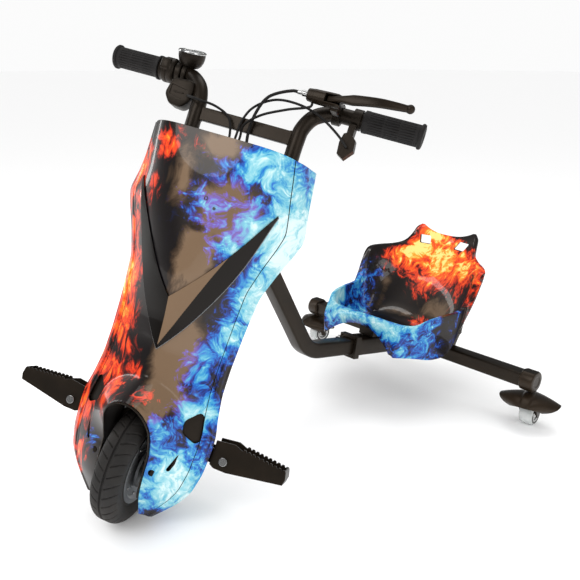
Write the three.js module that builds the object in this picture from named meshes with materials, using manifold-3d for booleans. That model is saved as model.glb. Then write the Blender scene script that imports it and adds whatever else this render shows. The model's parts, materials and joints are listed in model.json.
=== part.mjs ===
// A child's electric drift trike, in millimetres, +Z up. It faces -Y, and its own left is +X.
// The front assembly is modelled straight in a raked frame (x, v to the rear, w up along the steering
// axis) and then turned by turnAtRest, as the handlebar stands in the photograph.
import * as THREE from "three";
import { mergeVertices } from "three/addons/utils/BufferGeometryUtils.js";
import Module from "manifold-3d";

const wasm = await Module();
wasm.setup();

// Driving dimensions
const fitGap = 0.3; // between pieces that touch
const runGap = 0.6; // between pieces that move past each other
const overrun = 60; // how far a cutting tool passes its target
const bite = 1; // how far fused pieces reach into each other

// steering geometry
const rake = THREE.MathUtils.degToRad(25);
const turnAtRest = THREE.MathUtils.degToRad(31);
const hubLead = 60; // the hub lies this far ahead of the steering axis, level

// front wheel, 200 x 50 tyre on a hub motor
const tyreRadius = 100;
const tyreHalf = 25;
const shoulderRadius = 19;
const rimRadius = 62;
const grooveHalf = 1.5;
const grooveDepth = 2.6;
const tyreSteps = 40;
const motorHalf = 21.5;
const motorLip = 4;
const motorBoss = 15;
const axleRadius = 6;
const axleHalf = 47;
const nutRadius = 10.5;
const nutThick = 7;
const brakePlateRadius = 34;
const brakePlateThick = 4.4;

// fork and head
const legThick = 8;
const legInner = 28.5; // from the centre plane to a leg's inner face
const legWide = 32;
const steererRadius = 15;
const crownTop = 104;
const crownThick = 15;
const headHigh = 484;
const headLong = 99;
const headLow = headHigh - headLong;
const headOuter = 22;
const headWall = 4;
const cupHigh = 9;
const cupRadius = 25;

// main beam and rear frame
const beamSize = 32;
const beamWall = 2.5;
const beamJoin = headHigh - 44; // where the beam meets the head tube, along the steering axis
const rearY = 777; // cross tube centre, behind the front wheel's hub
const rearZ = 101;
const lowerLong = 349; // from the beam's bend back to the cross tube, level
const lowerRise = 68;
const bendY = rearY - lowerLong;
const bendZ = rearZ + lowerRise;
const bendRadius = 70;
const crossSize = 30;
const crossWall = 2.5;
const crossHalf = 315; // to the outer face of an end cap
const capLong = 30;
const capRadius = 20.5;
const capSocketShare = 0.38; // how much of a cap the cross tube fills
const sleeveSize = 39;
const sleeveLong = 221; // level
const sleeveMouthY = rearY - sleeveLong;
const slideOut = 60; // the frame lengthens by this from rest
const beamGrip = 90; // what stays in the rear tube at full length
const beamOverlap = beamGrip + slideOut;
const collarSize = 47;
const collarLong = 15;
const earLong = 12;
const boltRadius = 3;
const boltHead = 5.5;

// casters
const casterInset = 11; // from a cap's outer face to the swivel axis
const casterX = crossHalf - casterInset;
const casterWheelRadius = 25;
const casterWheelHalf = 14;
const casterTrail = 14;
const casterYaw = THREE.MathUtils.degToRad(6);
const fenderHalf = 62;
const fenderFront = 44;
const fenderBack = 48;
const fenderTop = 72;
const fenderEdge = 45;
const fenderWall = 2.5;
const stemRadius = 5.5;
const cheekThick = 3;

// seat shell
const seatAhead = 187; // how far the seat's front lies ahead of the cross tube
const seatFrontY = rearY - seatAhead;
const seatDepth = 305;
const seatLift = 40;
const seatLowZ = rearZ + seatLift;
const seatHigh = 204;
const seatHalf = 158;
const seatWall = 4;
const seatHoleX = 49;
const seatHoleZ = seatLowZ + seatHigh * 0.848;
const bracketBehind = 24; // from the seat's front back to the bracket under it
const stayX = 112;
const stayThick = 4;

// fairing, in the raked frame
const fairingLow = -95;
const fairingHigh = 506;
const fairingHalf = 155;
const fairingSeamV = -57; // the widest line of the fairing
const fairingDepth = 93; // from that line to the frontmost line
const fairingBackV = -26;
const shellWall = 2.6;
const seamShare = 0.84; // the front shell's share of the half width
const foldX = 104; // a folded peg reaches in to here
const ventX = 90;
const ventV = -60;
const ventW = 70;
const archHalf = 41;
const archCentre = 45;
const flareWide = 40;
const flareHigh = 47;
const wellWall = 2.4;
const wellBackV = -75;
const insertThick = 3;

// handlebar and controls, each placed from the piece that carries it
const barRadius = 12.5;
const uprightX = 89;
const uprightV = -48;
const yokeRoom = 8;
const yokeW = headHigh + cupHigh + yokeRoom;
const crossBarRise = 48;
const crossBarW = yokeW + crossBarRise;
const gripRise = 62;
const gripW = crossBarW + gripRise;
const gripBack = 26;
const gripV = uprightV + gripBack;
const gripInner = 186;
const gripLong = 87;
const gripOuter = gripInner + gripLong;
const bendLong = 54; // the straight of the bar inside a grip
const gripRadius = 17.5;
const flangeRadius = 20;
const bendEndX = gripInner - bendLong;
const leverX = gripInner - 58; // the brake lever's pivot
const leverV = gripV - 50;
const leverW = gripW + 6;
const leverTilt = 0.14;
const perchHigh = 19;
const pivotRadius = 3;
const switchX = gripInner - 20;
const switchV = gripV - 14;
const switchW = gripW - 51;
const switchThick = 16;
const gaugeX = gripInner - 49;
const gaugeClampX = gripInner - 36;
const gaugeV = gripV - 5;
const gaugeW = gripW + 30;
const gaugeRadius = 26;
const gaugeTilt = 0.4; // it faces straight up
const controlX = gripInner - 59;
const controlClampX = gripInner - 47;
const controlV = gripV - 20;
const controlW = gripW - 37;
const controlThick = 28;
const buttonRadius = 5;
const buttonWell = 9; // twice the depth of the recess it moves in
const cableRadius = 2.5;
const wireRadius = 2;
const wireX = 26.8; // the bare brake wire runs between the tyre and the left leg
const wireV = -46;
const cableV = uprightV - 12; // the cables pass in front of the cross bar

// held in the fairing
const controllerHalf = 45;
const controllerFrontV = -82;
const controllerHigh = yokeW - 39;
const batteryHalf = 50;
const controllerLong = 50;
const batteryGap = 12;
const batteryHigh = controllerHigh - controllerLong - batteryGap;
const batteryLong = 185;
const batteryLow = batteryHigh - batteryLong;

// foot pegs
const pegPivotX = 142;
const pegPivotW = 30;
const pegLong = 100; // from the pivot to the tip
const pegTipX = pegPivotX + pegLong;
const pegRootX = pegPivotX - 21;
const pegFrontV = -48;
const pegWide = 31;
const pegSheet = 3;
const pegTeeth = 10;
const pinRadius = 4;
const pinHead = 7;
const pinThick = 4;
const toothHigh = 3;

// Materials
function material(color, roughness, metalness = 0) {
  return new THREE.MeshStandardMaterial({ color, roughness, metalness });
}
const blackPaint = material(0x2b2622, 0.4, 0.3);
const blackPlastic = material(0x1c1a19, 0.5);
const blackRubber = material(0x232120, 0.85);
const glossBlack = material(0x0b0a0a, 0.08);
const fireShell = material(0xc8451c, 0.12);
const iceShell = material(0x4fa9d6, 0.12);
const brightSteel = material(0xc9c9c9, 0.25, 1);
const motorSilver = material(0x8d8f92, 0.4, 0.8);
const clearWheel = material(0xdfe3e0, 0.25);
const lensClear = material(0xe6ecef, 0.05);
const redButton = material(0xb32a1c, 0.4);
const batteryBlue = material(0x23406e, 0.5);

// Shape helpers
const weld = 1e-4;

function solid(geometry) {
  const bare = geometry.clone();
  bare.deleteAttribute("normal");
  bare.deleteAttribute("uv");
  const merged = mergeVertices(bare, weld);
  return new wasm.Manifold(
    new wasm.Mesh({
      numProp: 3,
      vertProperties: merged.attributes.position.array,
      triVerts: new Uint32Array(merged.index.array),
    }),
  );
}

function geometryOf(body) {
  const mesh = body.getMesh();
  return new THREE.BufferGeometry()
    .setAttribute("position", new THREE.BufferAttribute(mesh.vertProperties, 3))
    .setIndex(new THREE.BufferAttribute(mesh.triVerts, 1));
}

function join(...shapes) {
  return geometryOf(shapes.map(solid).reduce((a, b) => a.add(b)));
}

function cut(shape, ...tools) {
  return geometryOf(tools.map(solid).reduce((a, b) => a.subtract(b), solid(shape)));
}

function block(wide, deep, high, x = 0, y = 0, z = 0) {
  return new THREE.BoxGeometry(wide, deep, high).translate(x, y, z);
}

// A box between two corners.
function span(x0, x1, y0, y1, z0, z1) {
  return block(x1 - x0, y1 - y0, z1 - z0, (x0 + x1) / 2, (y0 + y1) / 2, (z0 + z1) / 2);
}

// A body made round the Y axis, laid along X or Z instead.
function alongAxis(geometry, axis) {
  if (axis === "x") return geometry.rotateZ(-Math.PI / 2);
  if (axis === "z") return geometry.rotateX(Math.PI / 2);
  return geometry;
}

function rod(radius, length, axis, sides = 24) {
  return alongAxis(new THREE.CylinderGeometry(radius, radius, length, sides), axis);
}

// Turns the faces outwards if the volume comes out negative.
function faceOut(geometry) {
  const p = geometry.attributes.position;
  const index = geometry.index.array;
  const [a, b, c] = [new THREE.Vector3(), new THREE.Vector3(), new THREE.Vector3()];
  let volume = 0;
  for (let i = 0; i < index.length; i += 3) {
    a.fromBufferAttribute(p, index[i]);
    b.fromBufferAttribute(p, index[i + 1]);
    c.fromBufferAttribute(p, index[i + 2]);
    volume += a.dot(b.cross(c));
  }
  if (volume < 0)
    for (let i = 0; i < index.length; i += 3)
      [index[i + 1], index[i + 2]] = [index[i + 2], index[i + 1]];
  return geometry;
}

// A profile of [radius, place] pairs turned round an axis; it starts and ends on the axis or closes.
function turned(profile, axis, sides = 32) {
  const points = profile.map(([r, y]) => new THREE.Vector2(r, y));
  return faceOut(alongAxis(new THREE.LatheGeometry(points, sides), axis));
}

function ring(outer, inner, length, axis, sides = 24) {
  const h = length / 2;
  const profile = [[inner, -h], [outer, -h], [outer, h], [inner, h], [inner, -h]];
  return turned(profile, axis, sides);
}

function shapeOf(points) {
  return new THREE.Shape(points.map(([x, y]) => new THREE.Vector2(x, y)));
}

// A flat outline in X and Y, given thickness along Z, centred.
function plate(points, thick) {
  const geometry = new THREE.ExtrudeGeometry(shapeOf(points), { depth: thick, bevelEnabled: false });
  return geometry.translate(0, 0, -thick / 2);
}

// An outline in (v, w) that stands across X, or in (x, w) that stands across Y.
function plateAcrossX(points, thick, x) {
  return plate(points, thick).rotateX(Math.PI / 2).rotateZ(Math.PI / 2).translate(x, 0, 0);
}

function plateAcrossY(points, thick, y) {
  const mirrored = points.map(([x, z]) => [x, -z]);
  return plate(mirrored, thick).rotateX(-Math.PI / 2).translate(0, y, 0);
}

function circlePoints(radius, count, from = 0, to = 2 * Math.PI) {
  return Array.from({ length: count }, (_, i) => {
    const a = from + ((to - from) * i) / count;
    return [radius * Math.cos(a), radius * Math.sin(a)];
  });
}

function sweep(curve, outline, steps) {
  const options = { steps, extrudePath: curve, bevelEnabled: false };
  return new THREE.ExtrudeGeometry(shapeOf(outline), options);
}

function vectors(points) {
  return points.map(([x, y, z]) => new THREE.Vector3(x, y, z));
}

function smoothTube(points, radius, steps, sides = 8) {
  const curve = new THREE.CatmullRomCurve3(vectors(points), false, "centripetal");
  return sweep(curve, circlePoints(radius, sides), steps);
}

// A closed thin body between two grids of points with the same counts.
function sheet(outer, inner) {
  const rows = outer.length;
  const columns = outer[0].length;
  const positions = [];
  for (const grid of [outer, inner])
    for (const row of grid) for (const p of row) positions.push(p.x, p.y, p.z);
  const at = (side, i, j) => (side * rows + i) * columns + j;
  const index = [];
  const quad = (a, b, c, d) => index.push(a, b, c, a, c, d);
  for (let i = 0; i < rows - 1; i++)
    for (let j = 0; j < columns - 1; j++) {
      quad(at(0, i, j), at(0, i, j + 1), at(0, i + 1, j + 1), at(0, i + 1, j));
      quad(at(1, i, j), at(1, i + 1, j), at(1, i + 1, j + 1), at(1, i, j + 1));
    }
  for (let i = 0; i < rows - 1; i++) {
    quad(at(0, i, 0), at(0, i + 1, 0), at(1, i + 1, 0), at(1, i, 0));
    const j = columns - 1;
    quad(at(0, i + 1, j), at(0, i, j), at(1, i, j), at(1, i + 1, j));
  }
  for (let j = 0; j < columns - 1; j++) {
    quad(at(0, 0, j + 1), at(0, 0, j), at(1, 0, j), at(1, 0, j + 1));
    const i = rows - 1;
    quad(at(0, i, j), at(0, i, j + 1), at(1, i, j + 1), at(1, i, j));
  }
  const geometry = new THREE.BufferGeometry();
  geometry.setAttribute("position", new THREE.Float32BufferAttribute(positions, 3));
  geometry.setIndex(index);
  return faceOut(geometry);
}

// The grid moved along its own normals; a positive distance goes to the side of rows x columns.
function offsetGrid(grid, distance) {
  const rows = grid.length;
  const columns = grid[0].length;
  const along = new THREE.Vector3();
  const across = new THREE.Vector3();
  return grid.map((row, i) =>
    row.map((p, j) => {
      along.subVectors(grid[Math.min(i + 1, rows - 1)][j], grid[Math.max(i - 1, 0)][j]);
      across.subVectors(row[Math.min(j + 1, columns - 1)], row[Math.max(j - 1, 0)]);
      return p.clone().addScaledVector(along.cross(across).normalize(), distance);
    }),
  );
}

function lerpTable(table, t) {
  let i = 0;
  while (i < table.length - 2 && table[i + 1][0] < t) i++;
  const k = THREE.MathUtils.clamp((t - table[i][0]) / (table[i + 1][0] - table[i][0]), 0, 1);
  return table[i].map((value, n) => THREE.MathUtils.lerp(value, table[i + 1][n], k));
}

// Steering frame
const hubV = -hubLead * Math.cos(rake);
const hubW = -hubLead * Math.sin(rake);

function steerMatrix(footZ, turn) {
  return new THREE.Matrix4()
    .makeTranslation(0, hubLead, footZ)
    .multiply(new THREE.Matrix4().makeRotationX(-rake))
    .multiply(new THREE.Matrix4().makeRotationZ(turn));
}

// Front wheel
function arcPoints(cx, cy, radius, from, to, count) {
  return Array.from({ length: count + 1 }, (_, i) => {
    const a = from + ((to - from) * i) / count;
    return [cx + radius * Math.cos(a), cy + radius * Math.sin(a)];
  });
}

function tyreGeometry() {
  const flat = tyreHalf - shoulderRadius;
  const springLine = tyreRadius - shoulderRadius;
  const beadHalf = tyreHalf - shoulderRadius / 4;
  const half = [
    [grooveHalf, tyreRadius - grooveDepth],
    [grooveHalf + grooveDepth / 4, tyreRadius],
    ...arcPoints(flat, springLine, shoulderRadius, Math.PI / 2, 0, 4),
    [tyreHalf - shoulderRadius / 12, (springLine + rimRadius) / 2],
    [beadHalf, rimRadius + grooveDepth],
    [beadHalf, rimRadius],
  ];
  const right = half.map(([x, r]) => [r, x]);
  const left = half.map(([x, r]) => [r, -x]).reverse();
  return turned([...left, ...right, left[0]], "x", tyreSteps);
}

function hubMotorGeometry() {
  const body = rimRadius - fitGap;
  const well = body - motorLip * 2;
  const cover = motorHalf - motorLip;
  const profile = [
    [axleRadius + fitGap, -motorHalf],
    [motorBoss, -motorHalf],
    [motorBoss + motorLip, -cover],
    [well - motorLip, -cover],
    [well, -motorHalf],
    [body, -motorHalf],
    [body, motorHalf],
    [well, motorHalf],
    [well - motorLip, cover],
    [motorBoss + motorLip, cover],
    [motorBoss, motorHalf],
    [axleRadius + fitGap, motorHalf],
    [axleRadius + fitGap, -motorHalf],
  ];
  return turned(profile, "x", 24);
}

function lowestPoint(geometry, matrix) {
  const moved = geometry.clone().applyMatrix4(matrix);
  moved.computeBoundingBox();
  return moved.boundingBox.min.z;
}

// The height of the steering axis foot, so that the turned tyre just meets the floor.
const tyre = tyreGeometry();
const hubPlace = new THREE.Matrix4().makeTranslation(0, hubV, hubW);
const axisFootZ = -lowestPoint(tyre, steerMatrix(0, turnAtRest).multiply(hubPlace));

function hexPoints(radius) {
  return circlePoints(radius, 6);
}

function axleGeometry() {
  const nut = (side) =>
    plate(hexPoints(nutRadius), nutThick)
      .rotateY(Math.PI / 2)
      .translate(side * (legInner + legThick + fitGap + nutThick / 2), 0, 0);
  return join(rod(axleRadius, 2 * axleHalf, "x", 16), nut(1), nut(-1));
}

function brakePlateGeometry() {
  const armLong = brakePlateRadius * 1.35;
  const place = motorHalf + fitGap * 2 + brakePlateThick / 2;
  const disc = ring(brakePlateRadius, axleRadius + fitGap, brakePlateThick, "x", 24);
  const arm = block(brakePlateThick, armLong / 3, armLong, 0, armLong / 6, armLong / 2);
  const hole = rod(axleRadius + fitGap, overrun, "x", 16);
  return cut(join(disc, arm), hole).translate(place, 0, 0);
}

// Fork
function legOutline() {
  const half = legWide / 2;
  const end = arcPoints(hubV, hubW, half, -Math.PI, 0, 8);
  const lean = (crownTop - hubW) * 0.06;
  return [...end, [hubV + half + lean, crownTop - bite], [hubV - half + lean, crownTop - bite]];
}

function forkGeometry() {
  const legCentre = legInner + legThick / 2;
  const legs = [-1, 1].map((side) => plateAcrossX(legOutline(), legThick, side * legCentre));
  const crownHalf = legInner + legThick;
  const crown = span(
    -crownHalf, crownHalf,
    hubV - legWide / 2 + crownThick / 2, steererRadius + bite,
    crownTop - crownThick, crownTop,
  );
  const steererHigh = yokeW - crownTop + crownThick / 2;
  const steerer = rod(steererRadius, steererHigh, "z", 28);
  steerer.translate(0, 0, crownTop - crownThick / 2 + steererHigh / 2);
  const bore = rod(axleRadius + fitGap, overrun * 2, "x", 16).translate(0, hubV, hubW);
  const wireHole = rod(cableRadius, overrun, "z", 12).translate(wireX, wireV, crownTop);
  return cut(join(crown, steerer, ...legs), bore, wireHole);
}

// Steering bearings (in the raked frame, not turned)
function cupGeometry(place) {
  return ring(cupRadius, steererRadius + fitGap, cupHigh, "z", 24).translate(0, 0, place);
}

// Main beam
const uprakedStart = [hubLead + beamJoin * Math.sin(rake), axisFootZ + beamJoin * Math.cos(rake)];
const lowerSlope = Math.atan2(rearZ - bendZ, rearY - bendY);

function beamPath(endY) {
  const bend = new THREE.Vector2(bendY, bendZ);
  const start = new THREE.Vector2(...uprakedStart);
  const upper = start.clone().sub(bend).normalize();
  const lower = new THREE.Vector2(Math.cos(lowerSlope), Math.sin(lowerSlope));
  const turn = Math.PI - upper.angleTo(lower);
  const tangent = bendRadius * Math.tan(turn / 2);
  const before = bend.clone().addScaledVector(upper, tangent);
  const after = bend.clone().addScaledVector(lower, tangent);
  const end = bend.clone().addScaledVector(lower, (endY - bendY) / Math.cos(lowerSlope));
  const lift = (p) => new THREE.Vector3(0, p.x, p.y);
  const path = new THREE.CurvePath();
  path.add(new THREE.LineCurve3(lift(start), lift(before)));
  path.add(new THREE.QuadraticBezierCurve3(lift(before), lift(bend), lift(after)));
  path.add(new THREE.LineCurve3(lift(after), lift(end)));
  return path;
}

function squarePoints(size) {
  const h = size / 2;
  return [[-h, -h], [h, -h], [h, h], [-h, h]];
}

// A square tube along the beam's path, made piece by piece so that its flats stay flat.
function beamBar(size, endY, startExtra, endExtra) {
  const curves = beamPath(endY + endExtra).curves;
  const rings = [];
  const first = curves[0].getPoint(0);
  const firstWay = curves[0].getTangent(0);
  first.addScaledVector(firstWay, -startExtra);
  const push = (point, way) => {
    const up = new THREE.Vector3(1, 0, 0).cross(way).normalize();
    rings.push(
      squarePoints(size).map(([a, b]) =>
        point.clone().add(new THREE.Vector3(a, 0, 0)).addScaledVector(up, b),
      ),
    );
  };
  push(first, firstWay);
  const bendSteps = 8;
  for (let i = 0; i <= bendSteps; i++)
    push(curves[1].getPoint(i / bendSteps), curves[1].getTangent(i / bendSteps));
  push(curves[2].getPoint(1), curves[2].getTangent(1));
  return tubeOfRings(rings);
}

// A closed body through rings of points, with flat ends.
function tubeOfRings(rings) {
  const count = rings[0].length;
  const positions = rings.flat().flatMap((p) => [p.x, p.y, p.z]);
  const index = [];
  for (let i = 0; i < rings.length - 1; i++)
    for (let j = 0; j < count; j++) {
      const a = i * count + j;
      const b = i * count + ((j + 1) % count);
      index.push(a, b, b + count, a, b + count, a + count);
    }
  const last = (rings.length - 1) * count;
  for (let j = 1; j < count - 1; j++) {
    index.push(0, j + 1, j);
    index.push(last, last + j, last + j + 1);
  }
  const geometry = new THREE.BufferGeometry();
  geometry.setAttribute("position", new THREE.Float32BufferAttribute(positions, 3));
  geometry.setIndex(index);
  return faceOut(geometry);
}

// The main frame: the bent beam with the head tube welded into its upper end.
function mainFrameGeometry() {
  const endY = sleeveMouthY + beamOverlap;
  const outer = beamBar(beamSize, endY, 0, 0);
  const inner = beamBar(beamSize - 2 * beamWall, endY, 0, overrun / 2);
  const rakeOnly = steerMatrix(axisFootZ, 0);
  const centre = (headLow + headHigh) / 2;
  const head = rod(headOuter, headHigh - headLow, "z", 24).translate(0, 0, centre);
  const bore = rod(headOuter - headWall, headHigh, "z", 24).translate(0, 0, centre);
  const beam = cut(outer, inner);
  return cut(join(beam, head.applyMatrix4(rakeOnly)), bore.applyMatrix4(rakeOnly));
}

// Rear frame
function alongSleeve(geometry) {
  return geometry.rotateX(lowerSlope).translate(0, rearY, rearZ);
}

function sleeveLength() {
  return (rearY - sleeveMouthY) / Math.cos(lowerSlope);
}

// The rear frame: the tube that takes the main beam, welded to the cross tube.
function rearFrameGeometry() {
  const long = sleeveLength();
  const inner = beamSize + 2 * runGap;
  const sleeve = alongSleeve(block(sleeveSize, long, sleeveSize, 0, -long / 2, 0));
  const hole = alongSleeve(block(inner, long + overrun, inner, 0, -long / 2 - overrun, 0));
  const half = crossHalf - capLong * (1 - capSocketShare) - fitGap;
  const hollow = crossSize - 2 * crossWall;
  const behind = block(2 * crossSize, crossSize, 2 * crossSize, 0, rearY + crossSize / 2, rearZ);
  const bar = block(2 * half, crossSize, crossSize, 0, rearY, rearZ);
  const bore = block(2 * half + overrun, hollow, hollow, 0, rearY, rearZ);
  return cut(join(cut(sleeve, behind), bar), bore, hole);
}

function collarGeometry() {
  const inner = sleeveSize + 2 * fitGap;
  const place = -sleeveLength() + collarLong / 2;
  const body = block(collarSize, collarLong, collarSize, 0, place, 0);
  const edge = -collarSize / 2;
  const ears = block(earLong + bite, collarLong, earLong * 1.6, edge - earLong / 2 + bite / 2, place, 0);
  const slit = block(earLong * 3, overrun, 2, edge - earLong / 2, place, 0);
  const bore = rod(boltRadius + fitGap, overrun, "z").translate(edge - earLong / 2, place, 0);
  const opening = block(inner, overrun, inner, 0, place, 0);
  return alongSleeve(cut(join(body, ears), opening, slit, bore));
}

function collarBoltGeometry() {
  const place = -sleeveLength() + collarLong / 2;
  const half = earLong * 0.8 + fitGap;
  const shank = rod(boltRadius, 2 * half + boltRadius, "z", 16);
  const ends = [-1, 1].map((side) => (
    plate(hexPoints(boltHead), boltRadius).translate(0, 0, side * (half + boltRadius / 2))
  ));
  return alongSleeve(join(shank, ...ends).translate(-collarSize / 2 - earLong / 2, place, 0));
}

function endCapGeometry(side) {
  const chamfer = capRadius / 7;
  const profile = [
    [0, 0], [capRadius - chamfer, 0], [capRadius, chamfer], [capRadius, capLong - chamfer],
    [capRadius - chamfer, capLong], [0, capLong],
  ];
  const body = turned(profile, "x", 24);
  const hollow = crossSize + 2 * fitGap;
  const depth = capLong * capSocketShare;
  const socket = block(depth * 2, hollow, hollow, capLong, 0, 0);
  const flat = block(overrun, overrun, capRadius, capLong / 2, 0, capRadius * 1.4);
  const bore = rod(stemRadius + runGap, capRadius, "z").translate(crossHalf - casterX, 0, -capRadius);
  const cap = cut(body, socket, flat, bore);
  if (side > 0) cap.rotateZ(Math.PI);
  return cap.translate(side * crossHalf, rearY, rearZ);
}

// Casters (in a frame at the swivel axis on the floor)
const capLowZ = rearZ - capRadius;

function casterForkGeometry() {
  const cheekInner = casterWheelHalf + 1.5;
  const legOut = cheekInner + cheekThick;
  const bridgeZ = 2 * casterWheelRadius + runGap * 3;
  const bridgeThick = cheekThick * 2;
  const cheek = (side) => {
    const outline = [
      [casterTrail + stemRadius, casterWheelRadius - stemRadius],
      [casterTrail + stemRadius, casterWheelRadius + stemRadius],
      [stemRadius * 2, bridgeZ + bridgeThick],
      [-stemRadius * 2, bridgeZ + bridgeThick],
      [casterTrail - stemRadius, casterWheelRadius - stemRadius],
    ];
    return plateAcrossX(outline, cheekThick, side * (cheekInner + cheekThick / 2));
  };
  const bridgeHalf = stemRadius * 2;
  const bridge = span(-legOut, legOut, -bridgeHalf, bridgeHalf, bridgeZ, bridgeZ + bridgeThick);
  const stem = rod(stemRadius, capLowZ + capRadius / 2 - bridgeZ, "z");
  stem.translate(0, 0, (capLowZ + capRadius / 2 + bridgeZ) / 2);
  const axle = rod(stemRadius / 2, 2 * legOut, "x", 16).translate(0, casterTrail, casterWheelRadius);
  return join(bridge, stem, cheek(1), cheek(-1), axle);
}

// The fender's crown: a saddle with a raised spine, drooping wings and swept-back tips.
function fenderPoint(s, t) {
  const x = s * fenderHalf * Math.pow(Math.max(0, 1 - Math.pow(Math.abs(t), 2.4)), 0.45);
  const sweepBack = 0.38 * fenderHalf * s * s;
  const y = (t < 0 ? t * fenderFront : t * fenderBack) * (1 - 0.55 * s * s) + sweepBack - 4;
  const drop = (fenderTop - fenderEdge) * (0.62 * s * s + 0.75 * Math.pow(Math.abs(t), 2.2));
  const spine = 4 * Math.exp(-Math.pow(s / 0.16, 2)) * (1 - t * t);
  return new THREE.Vector3(x, y, fenderTop - drop + spine - 4);
}

function fenderGeometry() {
  const rows = 8;
  const columns = 11;
  const grid = Array.from({ length: rows }, (_, i) =>
    Array.from({ length: columns }, (_, j) => {
      const t = -0.94 + (1.88 * i) / (rows - 1);
      const s = -1 + (2 * j) / (columns - 1);
      return fenderPoint(s, t);
    }),
  );
  const under = grid.map((row) => row.map((p) => p.clone().setZ(p.z - fenderWall)));
  const hubLow = 2 * casterWheelRadius + runGap * 3 + cheekThick * 2 + fitGap;
  const hubHigh = fenderTop - fenderWall;
  const hub = rod(stemRadius * 2, hubHigh - hubLow, "z", 16).translate(0, 0, (hubHigh + hubLow) / 2);
  const hole = rod(stemRadius + fitGap, overrun * 4, "z", 16);
  return cut(join(sheet(grid, under), hub), hole);
}

function casterTyreGeometry() {
  const r = casterWheelRadius;
  const h = casterWheelHalf;
  const bore = r * 0.68;
  const profile = [
    [bore, -h], [r - 3, -h], [r - 0.8, -h + 2.4], [r, -h * 0.45], [r, h * 0.45],
    [r - 0.8, h - 2.4], [r - 3, h], [bore, h], [bore, -h],
  ];
  return turned(profile, "x", 24);
}

function casterCoreGeometry() {
  const r = casterWheelRadius * 0.68 - fitGap;
  const h = casterWheelHalf;
  const bore = stemRadius / 2 + fitGap;
  const profile = [
    [bore, -h], [r * 0.45, -h], [r * 0.5, -h + 2], [r * 0.8, -h + 2], [r, -h], [r, h],
    [r * 0.8, h - 0.4], [r * 0.5, h - 2], [r * 0.45, h], [bore, h], [bore, -h],
  ];
  return turned(profile, "x", 24);
}

// Seat shell
// Rows from the lip's lower edge over the pan to the top of the backrest, as shares of the seat's
// depth, height and half width: centre depth, centre height, half width, edge depth, edge height,
// how late the sides rise, how far the floor sinks beside the frame tube, and the depth and height
// of the skirt that the rim turns down into.
const seatRowShares = [
  [0.02, 0.2, 0.6, -0.02, 0.01, 2.2, 0, -0.01, -0.015],
  [-0.01, 0.27, 0.65, -0.005, 0.12, 2.2, 0, 0.02, -0.02],
  [0.02, 0.325, 0.71, 0.03, 0.2, 2.6, 0, 0.066, -0.025],
  [0.06, 0.32, 0.79, 0.115, 0.28, 3.2, 0, 0.138, -0.045],
  [0.13, 0.24, 0.87, 0.19, 0.35, 5, 0.08, 0.213, -0.07],
  [0.24, 0.085, 0.925, 0.33, 0.365, 8, 0.2, 0.328, -0.07],
  [0.4, 0.04, 0.955, 0.47, 0.36, 9, 0.18, 0.387, 0.005],
  [0.515, 0.05, 0.965, 0.545, 0.38, 8, 0.15, 0.469, 0.18],
  [0.585, 0.15, 0.985, 0.6, 0.5, 5, 0.09, 0.57, 0.41],
  [0.64, 0.28, 1.0, 0.645, 0.64, 3.6, 0.03, 0.635, 0.605],
  [0.7, 0.42, 1.0, 0.68, 0.72, 3, 0, 0.675, 0.7],
  [0.76, 0.53, 0.975, 0.715, 0.745, 2.6, 0, 0.714, 0.735],
  [0.82, 0.62, 0.88, 0.775, 0.755, 2.3, 0, 0.775, 0.75],
  [0.865, 0.69, 0.73, 0.83, 0.77, 2.2, 0, 0.83, 0.765],
  [0.905, 0.76, 0.6, 0.885, 0.8, 2, 0, 0.886, 0.8],
  [0.945, 0.83, 0.545, 0.94, 0.88, 2, 0, 0.941, 0.88],
  [0.98, 0.9, 0.52, 0.975, 0.965, 2.4, 0, 0.976, 0.965],
  [0.995, 0.925, 0.455, 1.0, 1.0, 2.6, 0, 1.0, 1.0],
];
const seatColumnShares = [0, 0.16, 0.32, 0.47, 0.61, 0.72, 0.8, 0.86, 0.92, 0.975, 1, 1.02];
const seatRimShare = 0.92; // the sides have risen here; beyond 0.975 the skirt turns down
const seatSkirtShare = 0.975;

function seatPoint(row, s) {
  const [depth, high, wide, edgeDepth, edgeHigh, power, sink, skirtDepth, skirtHigh] = row;
  const u = Math.abs(s);
  const k = Math.pow(Math.min(1, u / seatRimShare), power);
  const trough = sink * u * u * (1 - k);
  const fall = Math.max(0, u - seatSkirtShare) / (seatColumnShares.at(-1) - seatSkirtShare);
  const flat = THREE.MathUtils.lerp(depth, edgeDepth, k);
  const level = THREE.MathUtils.lerp(high, edgeHigh, k) - trough;
  return new THREE.Vector3(
    s * wide * seatHalf,
    seatFrontY + seatDepth * THREE.MathUtils.lerp(flat, skirtDepth, fall),
    seatLowZ + seatHigh * THREE.MathUtils.lerp(level, skirtHigh, fall),
  );
}

function seatGrid() {
  return seatRowShares.map((row) => mirroredShares(seatColumnShares).map((s) => seatPoint(row, s)));
}

function seatHole(side) {
  const wide = 27;
  const high = 17;
  const slant = 4 * side;
  const outline = [
    [-wide / 2 - slant, -high / 2], [wide / 2 - slant, -high / 2],
    [wide / 2 + slant, high / 2], [-wide / 2 + slant, high / 2],
  ];
  const hole = plateAcrossY(outline, overrun * 2, 0);
  return hole.translate(side * seatHoleX, seatFrontY + seatDepth, seatHoleZ);
}

function seatGeometry() {
  const grid = seatGrid();
  const body = sheet(grid, offsetGrid(grid, seatWall));
  return cut(body, seatHole(1), seatHole(-1));
}

// The room that the seat pan takes, with a clearance below it, for trimming its supports.
function seatRoom(firstRow, lastRow, x, y, z) {
  const under = offsetGrid(seatGrid(), seatWall + fitGap).slice(firstRow, lastRow + 1);
  const away = under.map((row) => row.map((p) => p.clone().add(new THREE.Vector3(x, y, z))));
  return sheet(under, away);
}

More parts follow.
